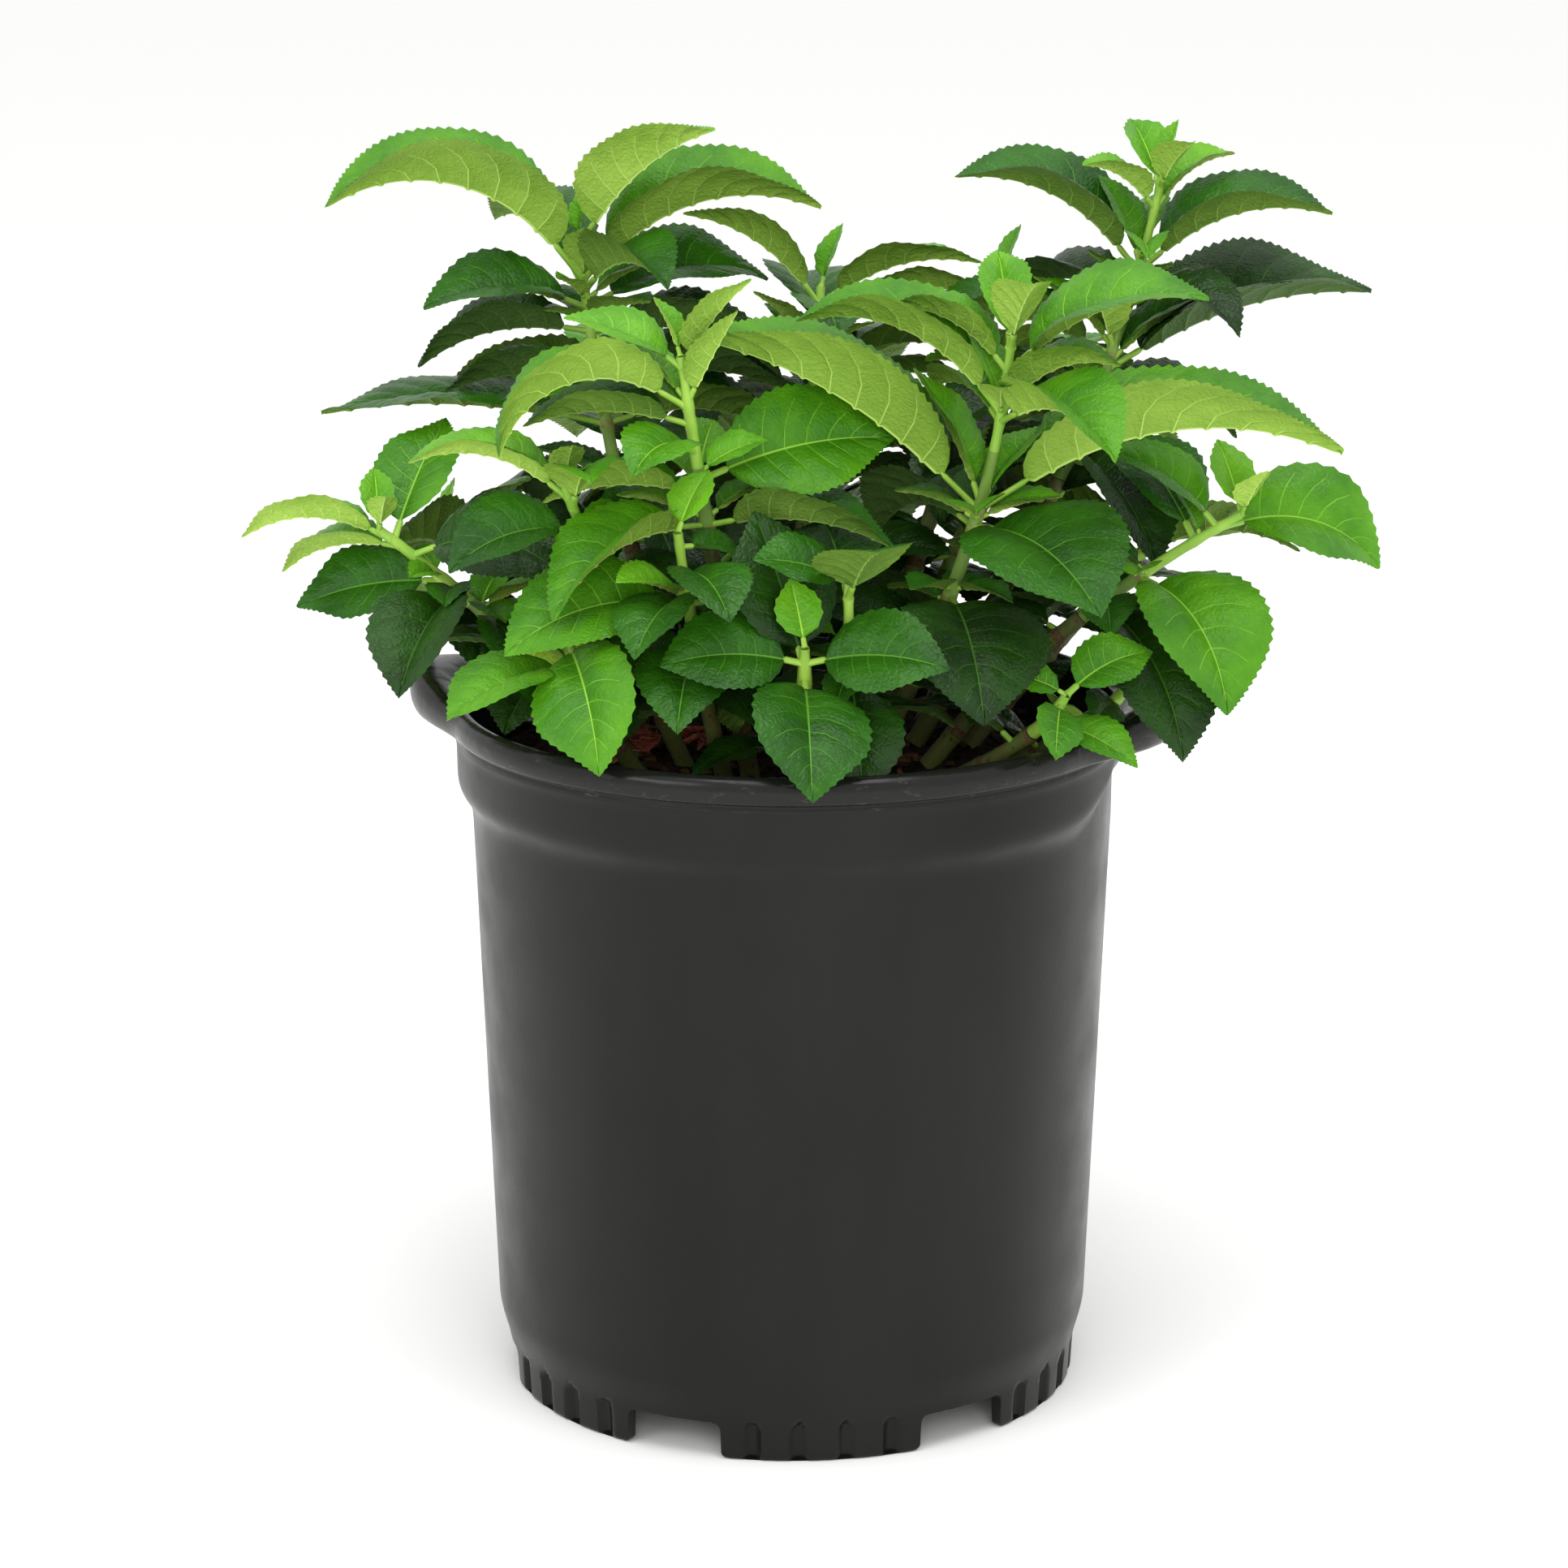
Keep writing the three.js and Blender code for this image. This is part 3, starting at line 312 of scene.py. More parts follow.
def put(name, points, faces, materials, nodes=(), kinds=None, sharp=50):
    """A smooth piece of the plant or pot: its points go from mm about the axis to the frame, points
    that coincide are welded, and edges that turn by more than sharp degrees stay crisp."""
    mesh = bpy.data.meshes.new(name)
    mesh.from_pydata((points.reshape(-1, 3) + AXIS) * MM, [], faces)
    if kinds is not None:
        mesh.polygons.foreach_set("material_index", kinds.astype(np.int32))
    for material in materials:
        mesh.materials.append(material)
    welded = bmesh.new()
    welded.from_mesh(mesh)
    bmesh.ops.remove_doubles(welded, verts=welded.verts, dist=1e-6)
    welded.to_mesh(mesh)
    welded.free()
    mesh.shade_smooth()
    mesh.set_sharp_from_angle(angle=math.radians(sharp))
    piece = bpy.data.objects.new(name, mesh)
    bpy.context.scene.collection.objects.link(piece)
    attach(piece, "root")
    if nodes:
        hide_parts(*nodes)
    return piece


def tube(points, radii, sides):
    """A round limb: on the plane across its path, ring point j lies at angle j of a turn, at the
    radius given for its row and, where radii has two axes, for its side. Ends draw to a point."""
    points = np.concatenate([points[:1], points, points[-1:]])
    radii = np.atleast_2d(np.asarray(radii, float).T).T
    radii = np.concatenate([radii[:1] * 0, radii, radii[-1:] * 0])
    way = np.gradient(points, axis=0)
    way /= np.linalg.norm(way, axis=1, keepdims=True)
    along = points[-1] - points[0]
    across = np.eye(3)[np.argmin(np.abs(along))]
    u = across - way * (way @ across)[:, None]
    u /= np.linalg.norm(u, axis=1, keepdims=True)
    v = np.cross(way, u)
    turn = np.arange(sides) / sides * 2 * np.pi
    ring = u[:, None] * np.cos(turn)[:, None] + v[:, None] * np.sin(turn)[:, None]
    return points[:, None] + ring * radii[..., None], ring_faces(len(points), sides)


def add(tree, kind, links=None, **settings):
    """Adds one shader node. A setting is a property or an input's value, and links names inputs
    with the output socket that feeds each."""
    node = tree.nodes.new(kind)
    for key, value in settings.items():
        name = key.replace("_", " ").title()
        if key in node.bl_rna.properties:
            setattr(node, key, value)
        else:
            node.inputs[name].default_value = value
    for name, source in (links or {}).items():
        tree.links.new(source, node.inputs[name])
    return node

# ------------------------------------------------------------------ pot


def rounded(corners, step):
    """A profile through (radius, height, fillet) corners: each fillet is a curve that leaves one
    side and joins the next within its reach, and no straight stretch is longer than its step."""
    path = [np.array(corners[0][:2], float)]
    for before, corner, after in zip(corners, corners[1:], corners[2:]):
        here = np.array(corner[:2], float)
        to_before, to_after = before[:2] - here, after[:2] - here
        reach_before = min(corner[2], np.linalg.norm(to_before) / 2)
        reach_after = min(corner[2], np.linalg.norm(to_after) / 2)
        start = here + to_before / np.linalg.norm(to_before) * reach_before
        end = here + to_after / np.linalg.norm(to_after) * reach_after
        t = np.linspace(0, 1, 5)[:, None]
        path.extend((1 - t) ** 2 * start + 2 * t * (1 - t) * here + t**2 * end)
    path.append(np.array(corners[-1][:2], float))
    dense = [path[0]]
    for a, b in zip(path, path[1:]):
        longest = step(min(a[0], b[0]), min(a[1], b[1]))
        count = max(1, math.ceil(np.linalg.norm(b - a) / longest))
        dense.extend(a + (b - a) * k / count for k in range(1, count + 1))
    return np.array(dense)


def pot_profile():
    """The pot's wall from the axis under the floor, up the outside and down the inside."""
    top, lip, collar, foot = POT["top"], POT["lip_radius"], POT["collar_radius"], POT["foot_radius"]
    lip_foot, collar_foot, foot_top = top - POT["lip_depth"], POT["collar_foot"], POT["foot_top"]
    wall, floor = POT["wall"], POT["floor"]
    body_top, body_foot = POT["body_top_radius"], POT["body_foot_radius"]
    skirt, bore = foot - wall - 1, lip - POT["lip_roll"]
    corners = [
        (0, floor, 0), (skirt, floor, 2), (skirt, 0, 0.9), (foot, 0, 1.8),
        (foot + 0.8, foot_top - 11, 3), (body_foot - 0.8, foot_top - 2, 3),
        (body_foot, foot_top + 2, 3), (body_top, collar_foot - 3, 4),
        (body_top + 1.2, collar_foot + 1, 3), (collar - 1.2, collar_foot + 4.5, 3),
        (collar, collar_foot + 8, 3), (collar + 0.2, lip_foot - 5, 2),
        (collar + 0.9, lip_foot - 2.6, 1), (collar + 0.3, lip_foot - 0.6, 0.6),
        (lip - 0.8, lip_foot, 0.9), (lip, lip_foot + 2.6, 1.6), (lip - 0.3, top - 2, 2.4),
        (lip - 3.4, top, 2), (bore, top - 1, 2), (bore - 0.4, lip_foot - 4, 3),
        (body_top - wall + 0.6, collar_foot + 2, 3), (body_top - wall, collar_foot - 6, 4),
        (body_foot - wall, foot_top + 4, 3), (foot - wall, floor + wall, 3), (0, floor + wall, 0),
    ]
    corners = [np.array(corner, float) for corner in corners]

    def step(radius, height):
        """The profile's longest step: long on floors and the plain wall, short elsewhere."""
        if radius < skirt - 3:
            return 30
        return 1.6 if height < foot_top + 2 else (2.5 if height > collar_foot else 14)

    return rounded(corners, step)


def pot_angles():
    """Angles round the pot in degrees: even steps, closer and closer to each side of each notch."""
    pitch, half = 360 / FEET["pads"], math.degrees(FEET["notch_width"] / 2 / POT["foot_radius"])
    notches = FEET["first_notch"] + pitch * np.arange(FEET["pads"])
    edges = np.concatenate([notches - half, notches + half])
    even = np.arange(0, 360, 0.75)
    close = np.array([0.07, 0.25, 0.6, 1.1, 1.7])
    fine = (edges[:, None] + np.concatenate([-close, close])).ravel() % 360
    return np.sort(np.concatenate([even[angle_off(even, edges) > 2.1], fine]))


def angle_off(angles, centres):
    """How far each angle lies from the nearest of the centres, in degrees."""
    return np.abs((angles[:, None] - centres + 180) % 360 - 180).min(axis=1)


def grip_share(angles):
    """From 0 to 1, how far an angle lies in a grip: the squared cosine across its reach."""
    off = angle_off(angles, GRIP["turn"] + np.array([0, 180])) / GRIP["half_angle"]
    return np.where(off < 1, np.cos(np.minimum(off, 1) * np.pi / 2) ** 2, 0)


def pot_surface():
    """The pot turned about its axis. At both grips the lip flares and rises, and under the first
    one the collar's step sweeps up to it. The foot ring rises to the notches' tops, and
    round-topped flutes sink in."""
    profile, angles = pot_profile(), pot_angles()
    pitch = 360 / FEET["pads"]
    radius = np.repeat(profile[:, :1], len(angles), axis=1)
    height = np.repeat(profile[:, 1:], len(angles), axis=1)
    share = grip_share(angles)
    hinge, lip_foot = POT["lip_radius"] - POT["lip_roll"], POT["top"] - POT["lip_depth"]
    in_lip = (height >= lip_foot - 0.3) & (radius > hinge)
    out = np.clip((radius - hinge) / POT["lip_roll"], 0, 1) * in_lip
    outside = (np.arange(len(profile)) < np.argmax(profile[:, 1]))[:, None]
    step_foot, step_top = POT["collar_foot"] - 4, POT["collar_foot"] + 8
    nearer = GRIP["sweep_from"] - angle_off(angles, np.array([GRIP["turn"]]))
    swept = np.clip(nearer / (GRIP["sweep_from"] - GRIP["sweep_to"]), 0, 1) ** 3
    climb = swept * (lip_foot - GRIP["collar_left"] - step_top)
    squeezed = step_top + climb + (height - step_top) * (1 - climb / (lip_foot - step_top))
    collar = outside & ~in_lip & (height > step_foot) & (height <= lip_foot)
    raised = np.where(height < step_top, height + climb, squeezed)
    height = np.where(collar, raised, height)
    lift = GRIP["rise"] * share * out * (height - lip_foot) / POT["lip_depth"]
    radius, height = radius + share * GRIP["reach"] * out, height + lift
    notches = FEET["first_notch"] + pitch * np.arange(FEET["pads"])
    inward = FEET["notch_width"] / 2 - np.radians(angle_off(angles, notches)) * POT["foot_radius"]
    bend = FEET["rounding"]
    arc = bend - np.sqrt(bend**2 - np.clip(bend - np.abs(inward), 0, bend) ** 2)
    floor = np.where(inward > 0, FEET["notch_height"] - arc, arc)
    ring = profile[:, :1] > POT["foot_radius"] - POT["wall"] - 2
    height = np.where(ring, np.maximum(height, floor), height)
    spread = FEET["groove_pitch"] * (np.arange(FEET["grooves"]) - (FEET["grooves"] - 1) / 2)
    grooves = (notches[:, None] + pitch / 2 + spread).ravel()
    across = np.radians(angle_off(angles, grooves)) * POT["foot_radius"]
    half, shoulder = FEET["groove_width"] / 2, FEET["groove_height"] - FEET["groove_width"] / 2
    above = np.clip(profile[:, 1:] - shoulder, 0, half)
    width = np.sqrt(half**2 - above**2)
    inside = np.clip(1 - (across / np.maximum(width, 0.01)) ** 2, 0, 1)
    outer = (profile[:, :1] >= POT["foot_radius"] - 0.5) & (profile[:, 1:] < FEET["groove_height"])
    radius = radius - FEET["groove_depth"] * inside * outer
    turn = np.radians(angles)
    points = np.stack([radius * np.cos(turn), radius * np.sin(turn), height], axis=-1)
    return points, profile


def build_pot():
    """The pot in one piece; its lip, where hands and pots rub, has a material of its own."""
    points, profile = pot_surface()
    faces = ring_faces(*points.shape[:2])
    band = np.repeat((profile[:-1, 1] > POT["top"] - POT["lip_depth"] - 3), points.shape[1])
    put("blow_moulded_pot", points, faces, [moulded_hdpe(), moulded_lip()], ["pot"],
        band.astype(int), sharp=38)


# ------------------------------------------------------------------ potting mix


def ripple(x, y, wavelength, key):
    """Uneven ground from -1 to 1: the mean of six sines across the plane at seeded headings."""
    total = 0
    for k in range(6):
        turn = 2 * math.pi * chance(key, k)
        stretch = wavelength * (0.6 + 0.9 * chance(key, k, 1))
        run = (x * math.cos(turn) + y * math.sin(turn)) / stretch
        total = total + np.sin(2 * math.pi * (run + chance(key, k, 2)))
    return total / 6


def build_mix():
    """The mix's top as rings of points, rough by ripples of three sizes and dished at the wall."""
    inner = POT["body_top_radius"] - POT["wall"] - 1
    radii = np.concatenate([[0], np.linspace(2, inner, 54), [inner + 0.2, inner - 6, 0]])
    turn = np.radians(np.arange(0, 360, 2))
    x, y = np.outer(radii, np.cos(turn)), np.outer(radii, np.sin(turn))
    rough = sum(height * ripple(x, y, wavelength, key)
                for key, (height, wavelength) in enumerate(MIX_RIPPLES, 1))
    z = MIX_LEVEL + rough - MIX_DISH * (radii[:, None] / inner) ** 6
    z[-3:] = np.array([MIX_LEVEL - 14, POT["foot_top"], POT["floor"] + 3])[:, None]
    points = np.stack([x, y, z], axis=-1)
    put("potting_mix_top", points, ring_faces(*points.shape[:2]), [moist_mix()],
        ["potting_mix"], sharp=70)


def build_chips():
    """Bark chips and fibres: boxes with uneven corners, each turned about and laid on the mix."""
    rng = np.random.default_rng(41)
    count = CHIPS["count"]
    square = ((-1, -1), (1, -1), (1, 1), (-1, 1))
    corners = np.array([[x, y, z] for z in (-1, 1) for x, y in square])
    size = np.stack([rng.uniform(*CHIPS[side], count) for side in ("length", "width", "thickness")],
                    axis=-1)
    shapes = corners * size[:, None] * rng.uniform(0.6, 1.1, (count, 8, 3))
    turn, tilt = rng.uniform(0, 2 * np.pi, count), rng.normal(0, CHIPS["lean"], count)
    c, s, ct, st = np.cos(turn), np.sin(turn), np.cos(tilt), np.sin(tilt)
    zero, one = np.zeros(count), np.ones(count)
    spin = np.stack([c, -s, zero, s, c, zero, zero, zero, one], axis=-1).reshape(-1, 3, 3)
    lean = np.stack([ct, zero, st, zero, one, zero, -st, zero, ct], axis=-1).reshape(-1, 3, 3)
    shapes = np.einsum("nij,njk,nvk->nvi", spin, lean, shapes)
    reach = (POT["body_top_radius"] - 9) * np.sqrt(rng.uniform(0, 1, count))
    place = rng.uniform(0, 2 * np.pi, count)
    x, y = reach * np.cos(place), reach * np.sin(place)
    height, wavelength = MIX_RIPPLES[0]
    z = MIX_LEVEL + height * ripple(x, y, wavelength, 1) + 0.8
    shapes += np.stack([x, y, z], axis=-1)[:, None]
    quads = np.array([[3, 2, 1, 0], [4, 5, 6, 7], [0, 1, 5, 4], [1, 2, 6, 5], [2, 3, 7, 6],
                      [3, 0, 4, 7]])
    faces = (quads + 8 * np.arange(count)[:, None, None]).reshape(-1, 4)
    kinds = np.repeat(rng.integers(0, 3, count), 6)
    barks = [bark_chip("dark", "#24160e"), bark_chip("brown", "#3d2617"),
             bark_chip("pale", "#6b4a2e")]
    put("bark_chips", shapes, faces, barks, kinds=kinds, sharp=30)


def build_sepals():
    """Fallen sepals: small cupped sheets, round in outline, heaped on the mix at two spots."""
    rng = np.random.default_rng(7)
    heap = Gathering()
    across, along = np.meshgrid(np.linspace(-1, 1, 7), np.linspace(-1, 1, 7))
    edge = np.sqrt(np.clip(1 - along**2, 0, 1))
    for spot, count in SEPALS["heaps"]:
        for _ in range(count):
            size, cup = rng.uniform(*SEPALS["size"]), rng.uniform(*SEPALS["cup"])
            flat = np.stack([across * edge * size, along * size,
                             cup * size * (across**2 + along**2) * 0.5], axis=-1)
            leans, turn = rng.normal(0, 0.5, 2), rng.uniform(0, 2 * np.pi)
            place = np.array([*spot, MIX_LEVEL + rng.uniform(3, 10)]) + rng.normal(0, [7, 5, 0])
            top = turn_about(flat, *leans, turn) + place
            add_sheet(heap, top, top - [0, 0, SEPALS["thickness"]], 0)
    heap.put("fallen_sepals", [dry_sepal()], "leaf")


def turn_about(points, about_x, about_y, about_z):
    """The points turned about X, then Y, then Z, by angles in radians."""
    for axis, angle in enumerate((about_x, about_y, about_z)):
        i, j = [(1, 2), (2, 0), (0, 1)][axis]
        a, b = points[..., i].copy(), points[..., j].copy()
        points = points.copy()
        points[..., i] = a * math.cos(angle) - b * math.sin(angle)
        points[..., j] = a * math.sin(angle) + b * math.cos(angle)
    return points


def add_sheet(gathering, top, bottom, kind):
    """A thin closed sheet: each row runs across the top, then back across the underside."""
    rows = np.concatenate([top, bottom[:, ::-1]], axis=1)
    rows = np.concatenate([rows[:1].mean(axis=1, keepdims=True).repeat(rows.shape[1], 1), rows,
                           rows[-1:].mean(axis=1, keepdims=True).repeat(rows.shape[1], 1)])
    gathering.add(rows, ring_faces(*rows.shape[:2]), kind)

# ------------------------------------------------------------------ growing the shrub


class Course:
    """A shoot's quadratic curve from the mix to its tip, read by the distance along it."""

    def __init__(self, shoot):
        self.foot = np.array([*shoot["foot"], MIX_LEVEL + CLEAR], float)
        self.tip = np.array(shoot["tip"], float)
        bend = [shoot["bow"], shoot["bow"], STEM["bend_height"]]
        self.bend = self.foot + (self.tip - self.foot) * bend
        self.shares = np.linspace(0, 1, 201)
        steps = np.linalg.norm(np.diff(self.point(self.shares), axis=0), axis=1)
        self.distances = np.concatenate([[0], np.cumsum(steps)])
        self.length = self.distances[-1]
        self.join = self.length - max(pair[0] for pair in pairs_of(shoot)) - STEM["past_last"]
        thicker = (STEM["foot"] - STEM["join"]) * min(1, self.join / STEM["full_cane"])
        self.foot_radius = STEM["join"] + thicker

    def point(self, t):
        """(1 - t)^2 foot + 2 t (1 - t) bend + t^2 tip."""
        t = np.asarray(t, float)[..., None]
        return (1 - t) ** 2 * self.foot + 2 * t * (1 - t) * self.bend + t**2 * self.tip

    def at(self, distance):
        return self.point(np.interp(distance, self.distances, self.shares))

    def samples(self):
        """Points and radii that stand for the cane and its leafy stem in the tests."""
        cane_steps = max(3, math.floor(self.join / STEM["cane_step"] + 0.5))
        leafy_steps = max(2, math.floor((self.length - self.join) / STEM["leafy_step"] + 0.5))
        limbs = [(0, self.join - CLEAR, self.foot_radius, STEM["join"], cane_steps),
                 (self.join, self.length, STEM["join"], STEM["tip"], leafy_steps)]
        for start, end, first, last, steps in limbs:
            corners = self.at(np.linspace(start, end, steps + 1))
            widths = np.linspace(first, last, steps + 1)
            points, radii = [], []
            for a, b, width in zip(corners, corners[1:], widths):
                count = math.ceil(np.linalg.norm(b - a) / LIMB_SPACING)
                points.append(a + (b - a) * (np.arange(count) / count)[:, None])
                radii.append(np.full(count, width))
            points.append(corners[-1:])
            radii.append(widths[-1:])
            yield np.concatenate(points), np.concatenate(radii)


def pairs_of(shoot):
    """The shoot's own pairs of leaves, or those of the ordinary habit."""
    if "pairs" in shoot:
        return shoot["pairs"]
    count = HABIT_LOW if shoot["tip"][2] < LOW_TIP else len(HABIT["below"])
    lengths = [shoot["largest"] * share for share in HABIT["share"]]
    return [(HABIT["below"][i], shoot["turn"] + HABIT["turn"] * i, lengths[i], lengths[i],
             HABIT["rise"][i], HABIT["droop"][i]) for i in range(count)]


def heading(azimuth, slope):
    """Unit vectors that point along azimuth and climb by slope, in radians."""
    flat = np.cos(slope)
    return np.stack([np.cos(azimuth) * flat, np.sin(azimuth) * flat, np.sin(slope)], axis=-1)


def slope_at(leaf, share):
    """A blade's slope falls from its rise by droop times share^1.1."""
    return np.radians(leaf["rise"] - leaf["droop"] * share**DROOP_POWER)


def blade_axes(leaf, share):
    """Side and up vectors at shares of the blade, square to the midrib and turned by the roll."""
    azimuth, roll = math.radians(leaf["azimuth"]), math.radians(leaf["roll"])
    c, s = math.cos(roll), math.sin(roll)
    normal = heading(azimuth, slope_at(leaf, share) + math.pi / 2)
    left = np.array([-math.sin(azimuth), math.cos(azimuth), 0])
    return left * c + normal * s, normal * c - left * s


def blade_start(leaf):
    """The end of the stalk, which leaves the stem at the leaf's azimuth and rise."""
    stalk = heading(math.radians(leaf["azimuth"]), math.radians(leaf["rise"]))
    return leaf["base"] + stalk * leaf["length"] * STALK_SHARE


def midrib(leaf, cuts):
    """The midrib's points: equal steps, each along the slope halfway through it."""
    slope = slope_at(leaf, (np.arange(cuts) + 0.5) / cuts)
    steps = heading(math.radians(leaf["azimuth"]), slope) * leaf["length"] / cuts
    start = blade_start(leaf)
    return np.concatenate([[start], start + np.cumsum(steps, axis=0)])


def fold_at(leaf, share):
    """How far each half lifts from flat, in radians: most at the base, less towards the tip."""
    return np.radians(leaf["fold"] * (FOLD_FROM - FOLD_LOSS * share))


def half_width(share, leaf):
    """Half the blade's width: length x width x share^0.62 (1 - share)^0.78 / 0.817."""
    share = np.clip(share, 0, 1)
    return leaf["length"] * leaf["width"] * share**0.62 * (1 - share) ** 0.78 / 0.817


def sheet_of(leaf):
    """The blade as loose triangles and edges, for the tests that keep leaves apart."""
    cuts = next(count for longest, count in CUTS if leaf["length"] <= longest)
    share = np.arange(cuts + 1) / cuts
    spine = midrib(leaf, cuts)
    side, up = blade_axes(leaf, share)
    half, fold = half_width(share, leaf)[:, None], fold_at(leaf, share)[:, None]
    margins = [spine + half * (side * sign * np.cos(fold) + up * np.sin(fold)) for sign in (1, -1)]
    triangles, edges = [], list(zip(spine, spine[1:]))
    for edge in margins:
        edges += list(zip(edge, edge[1:])) + list(zip(spine[1:cuts], edge[1:cuts]))
        triangles += list(zip(spine[1:cuts], edge[1:cuts], edge[2:]))
        triangles += list(zip(spine[: cuts - 1], edge[1:cuts], spine[1:cuts]))
        triangles.append((spine[cuts - 1], edge[cuts - 1], spine[cuts]))
    points = np.concatenate([spine, margins[0][1:cuts], margins[1][1:cuts]])
    stalk = leaf["base"] + (spine[0] - leaf["base"]) * STALK_POINTS[:, None]
    everything = np.concatenate([points, stalk])
    return dict(
        triangles=np.array(triangles), edges=np.array(edges), points=points, stalk=stalk,
        low=everything.min(axis=0) - ROOM["blade"], high=everything.max(axis=0) + ROOM["blade"],
    )


def distances(points, triangles):
    """Each point's distance to each triangle: to its plane inside it, else to its nearest edge."""
    a = triangles[:, 0]
    e1, e2 = triangles[:, 1] - a, triangles[:, 2] - a
    normal = np.cross(e1, e2)
    size = np.maximum((normal**2).sum(axis=1), 1e-12)
    to = points[:, None] - a
    v = (np.cross(to, e2) * normal).sum(axis=2) / size
    w = (np.cross(e1, to) * normal).sum(axis=2) / size
    inside = (v >= 0) & (w >= 0) & (v + w <= 1)
    plane = np.abs((to * normal).sum(axis=2)) / np.sqrt(size)
    nearest = np.full(plane.shape, np.inf)
    for i in range(3):
        start, run = triangles[:, i], triangles[:, (i + 1) % 3] - triangles[:, i]
        off = points[:, None] - start
        t = np.clip((off * run).sum(axis=2) / np.maximum((run**2).sum(axis=1), 1e-12), 0, 1)
        nearest = np.minimum(nearest, np.linalg.norm(off - run * t[..., None], axis=2))
    return np.where(inside, plane, nearest)


def crosses(edges, triangles):
    """Whether any edge passes through any triangle."""
    start, along = edges[:, None, 0], edges[:, None, 1] - edges[:, None, 0]
    e1, e2 = triangles[:, 1] - triangles[:, 0], triangles[:, 2] - triangles[:, 0]
    h = np.cross(along, e2)
    det = (e1 * h).sum(axis=2)
    flat = np.abs(det) < 1e-9
    det = np.where(flat, 1, det)
    s = start - triangles[:, 0]
    u = (s * h).sum(axis=2) / det
    q = np.cross(s, e1)
    v = (along * q).sum(axis=2) / det
    t = (e2 * q).sum(axis=2) / det
    return bool((~flat & (u >= 0) & (v >= 0) & (u + v <= 1) & (t >= 0) & (t <= 1)).any())


def boxes_meet(a, b):
    """Whether two boxes overlap or touch along all three axes."""
    return bool((a["low"] <= b["high"]).all() and (b["low"] <= a["high"]).all())


def blades_clash(a, b):
    """Whether two leaves cross, or come closer than the room that blades and stalks keep."""
    if not boxes_meet(a, b):
        return False
    stalk_room = STALK_RADIUS + ROOM["stalk"]
    return (crosses(a["edges"], b["triangles"]) or crosses(b["edges"], a["triangles"])
            or distances(a["points"], b["triangles"]).min() < ROOM["blade"]
            or distances(b["points"], a["triangles"]).min() < ROOM["blade"]
            or distances(a["stalk"], b["triangles"]).min() < stalk_room
            or distances(b["stalk"], a["triangles"]).min() < stalk_room)


def clears_pot(sheet):
    """A blade keeps off the pot's rim and the mix: inside the rim it stays above the mix."""
    points = np.concatenate([sheet["points"], sheet["edges"].mean(axis=1)])
    radius = np.hypot(points[:, 0], points[:, 1])
    turn = np.degrees(np.arctan2(points[:, 1], points[:, 0])) % 360
    within = radius < POT["lip_radius"] - POT["lip_roll"] - ROOM["rim"]
    share = grip_share(turn)
    outside = radius > POT["lip_radius"] + GRIP["reach"] * share + ROOM["rim"]
    low = np.where(within, points[:, 2] > MIX_LEVEL + ROOM["mix"], outside)
    return bool(((points[:, 2] > POT["top"] + GRIP["rise"] * share + ROOM["rim"]) | low).all())


def clears_limbs(sheet, limbs, name):
    """Whether a leaf keeps off every cane and stem, and may come nearer to its own."""
    for limb in limbs:
        if boxes_meet(sheet, limb):
            room = ROOM["own_stem" if limb["name"] == name else "limb"]
            gaps = distances(limb["points"], sheet["triangles"]).min(axis=1)
            if (gaps < limb["radii"] + room).any():
                return False
    return True


def settle(wish, placed, limbs, name):
    """The first turned, lifted or shrunk form of a leaf that touches nothing, or None."""
    for shrink in SHRINKS:
        for turn, lift in SHIFTS:
            leaf = dict(wish, azimuth=wish["azimuth"] + turn, rise=wish["rise"] + lift,
                        length=wish["length"] * shrink)
            sheet = sheet_of(leaf)
            if not clears_pot(sheet) or not clears_limbs(sheet, limbs, name):
                continue
            if not any(blades_clash(sheet, other) for other in placed):
                placed.append(sheet)
                return leaf
    return None


def leaf_wish(shoot, index, course, pair, pair_index, side):
    """What one leaf would be with room all round it."""
    below, azimuth_of_first, first, second, rise, droop, *own = pair
    shoot = {**shoot, **(own[0] if own else {})}
    random = [chance(index, pair_index, side, k) - 0.5 for k in range(5)]
    azimuth = azimuth_of_first + 180 * side + random[0] * JITTER["azimuth"]
    outward = math.hypot(*shoot["tip"][:2]) / OUTWARD
    face = shoot.get("face", (shoot["tip"][0] / outward, shoot["tip"][1] / outward))
    turn = math.radians(azimuth)
    facing = -math.sin(turn) * face[0] + math.cos(turn) * face[1]
    return dict(
        base=course.at(course.length - below), below=below, azimuth=azimuth,
        length=second if side else first,
        rise=rise + random[1] * JITTER["rise"], droop=droop + random[2] * JITTER["droop"],
        roll=-FACING * facing + random[3] * JITTER["roll"],
        width=shoot.get("width", BLADE_WIDTH) + random[4] * WIDTH_JITTER, fold=shoot["fold"],
    )


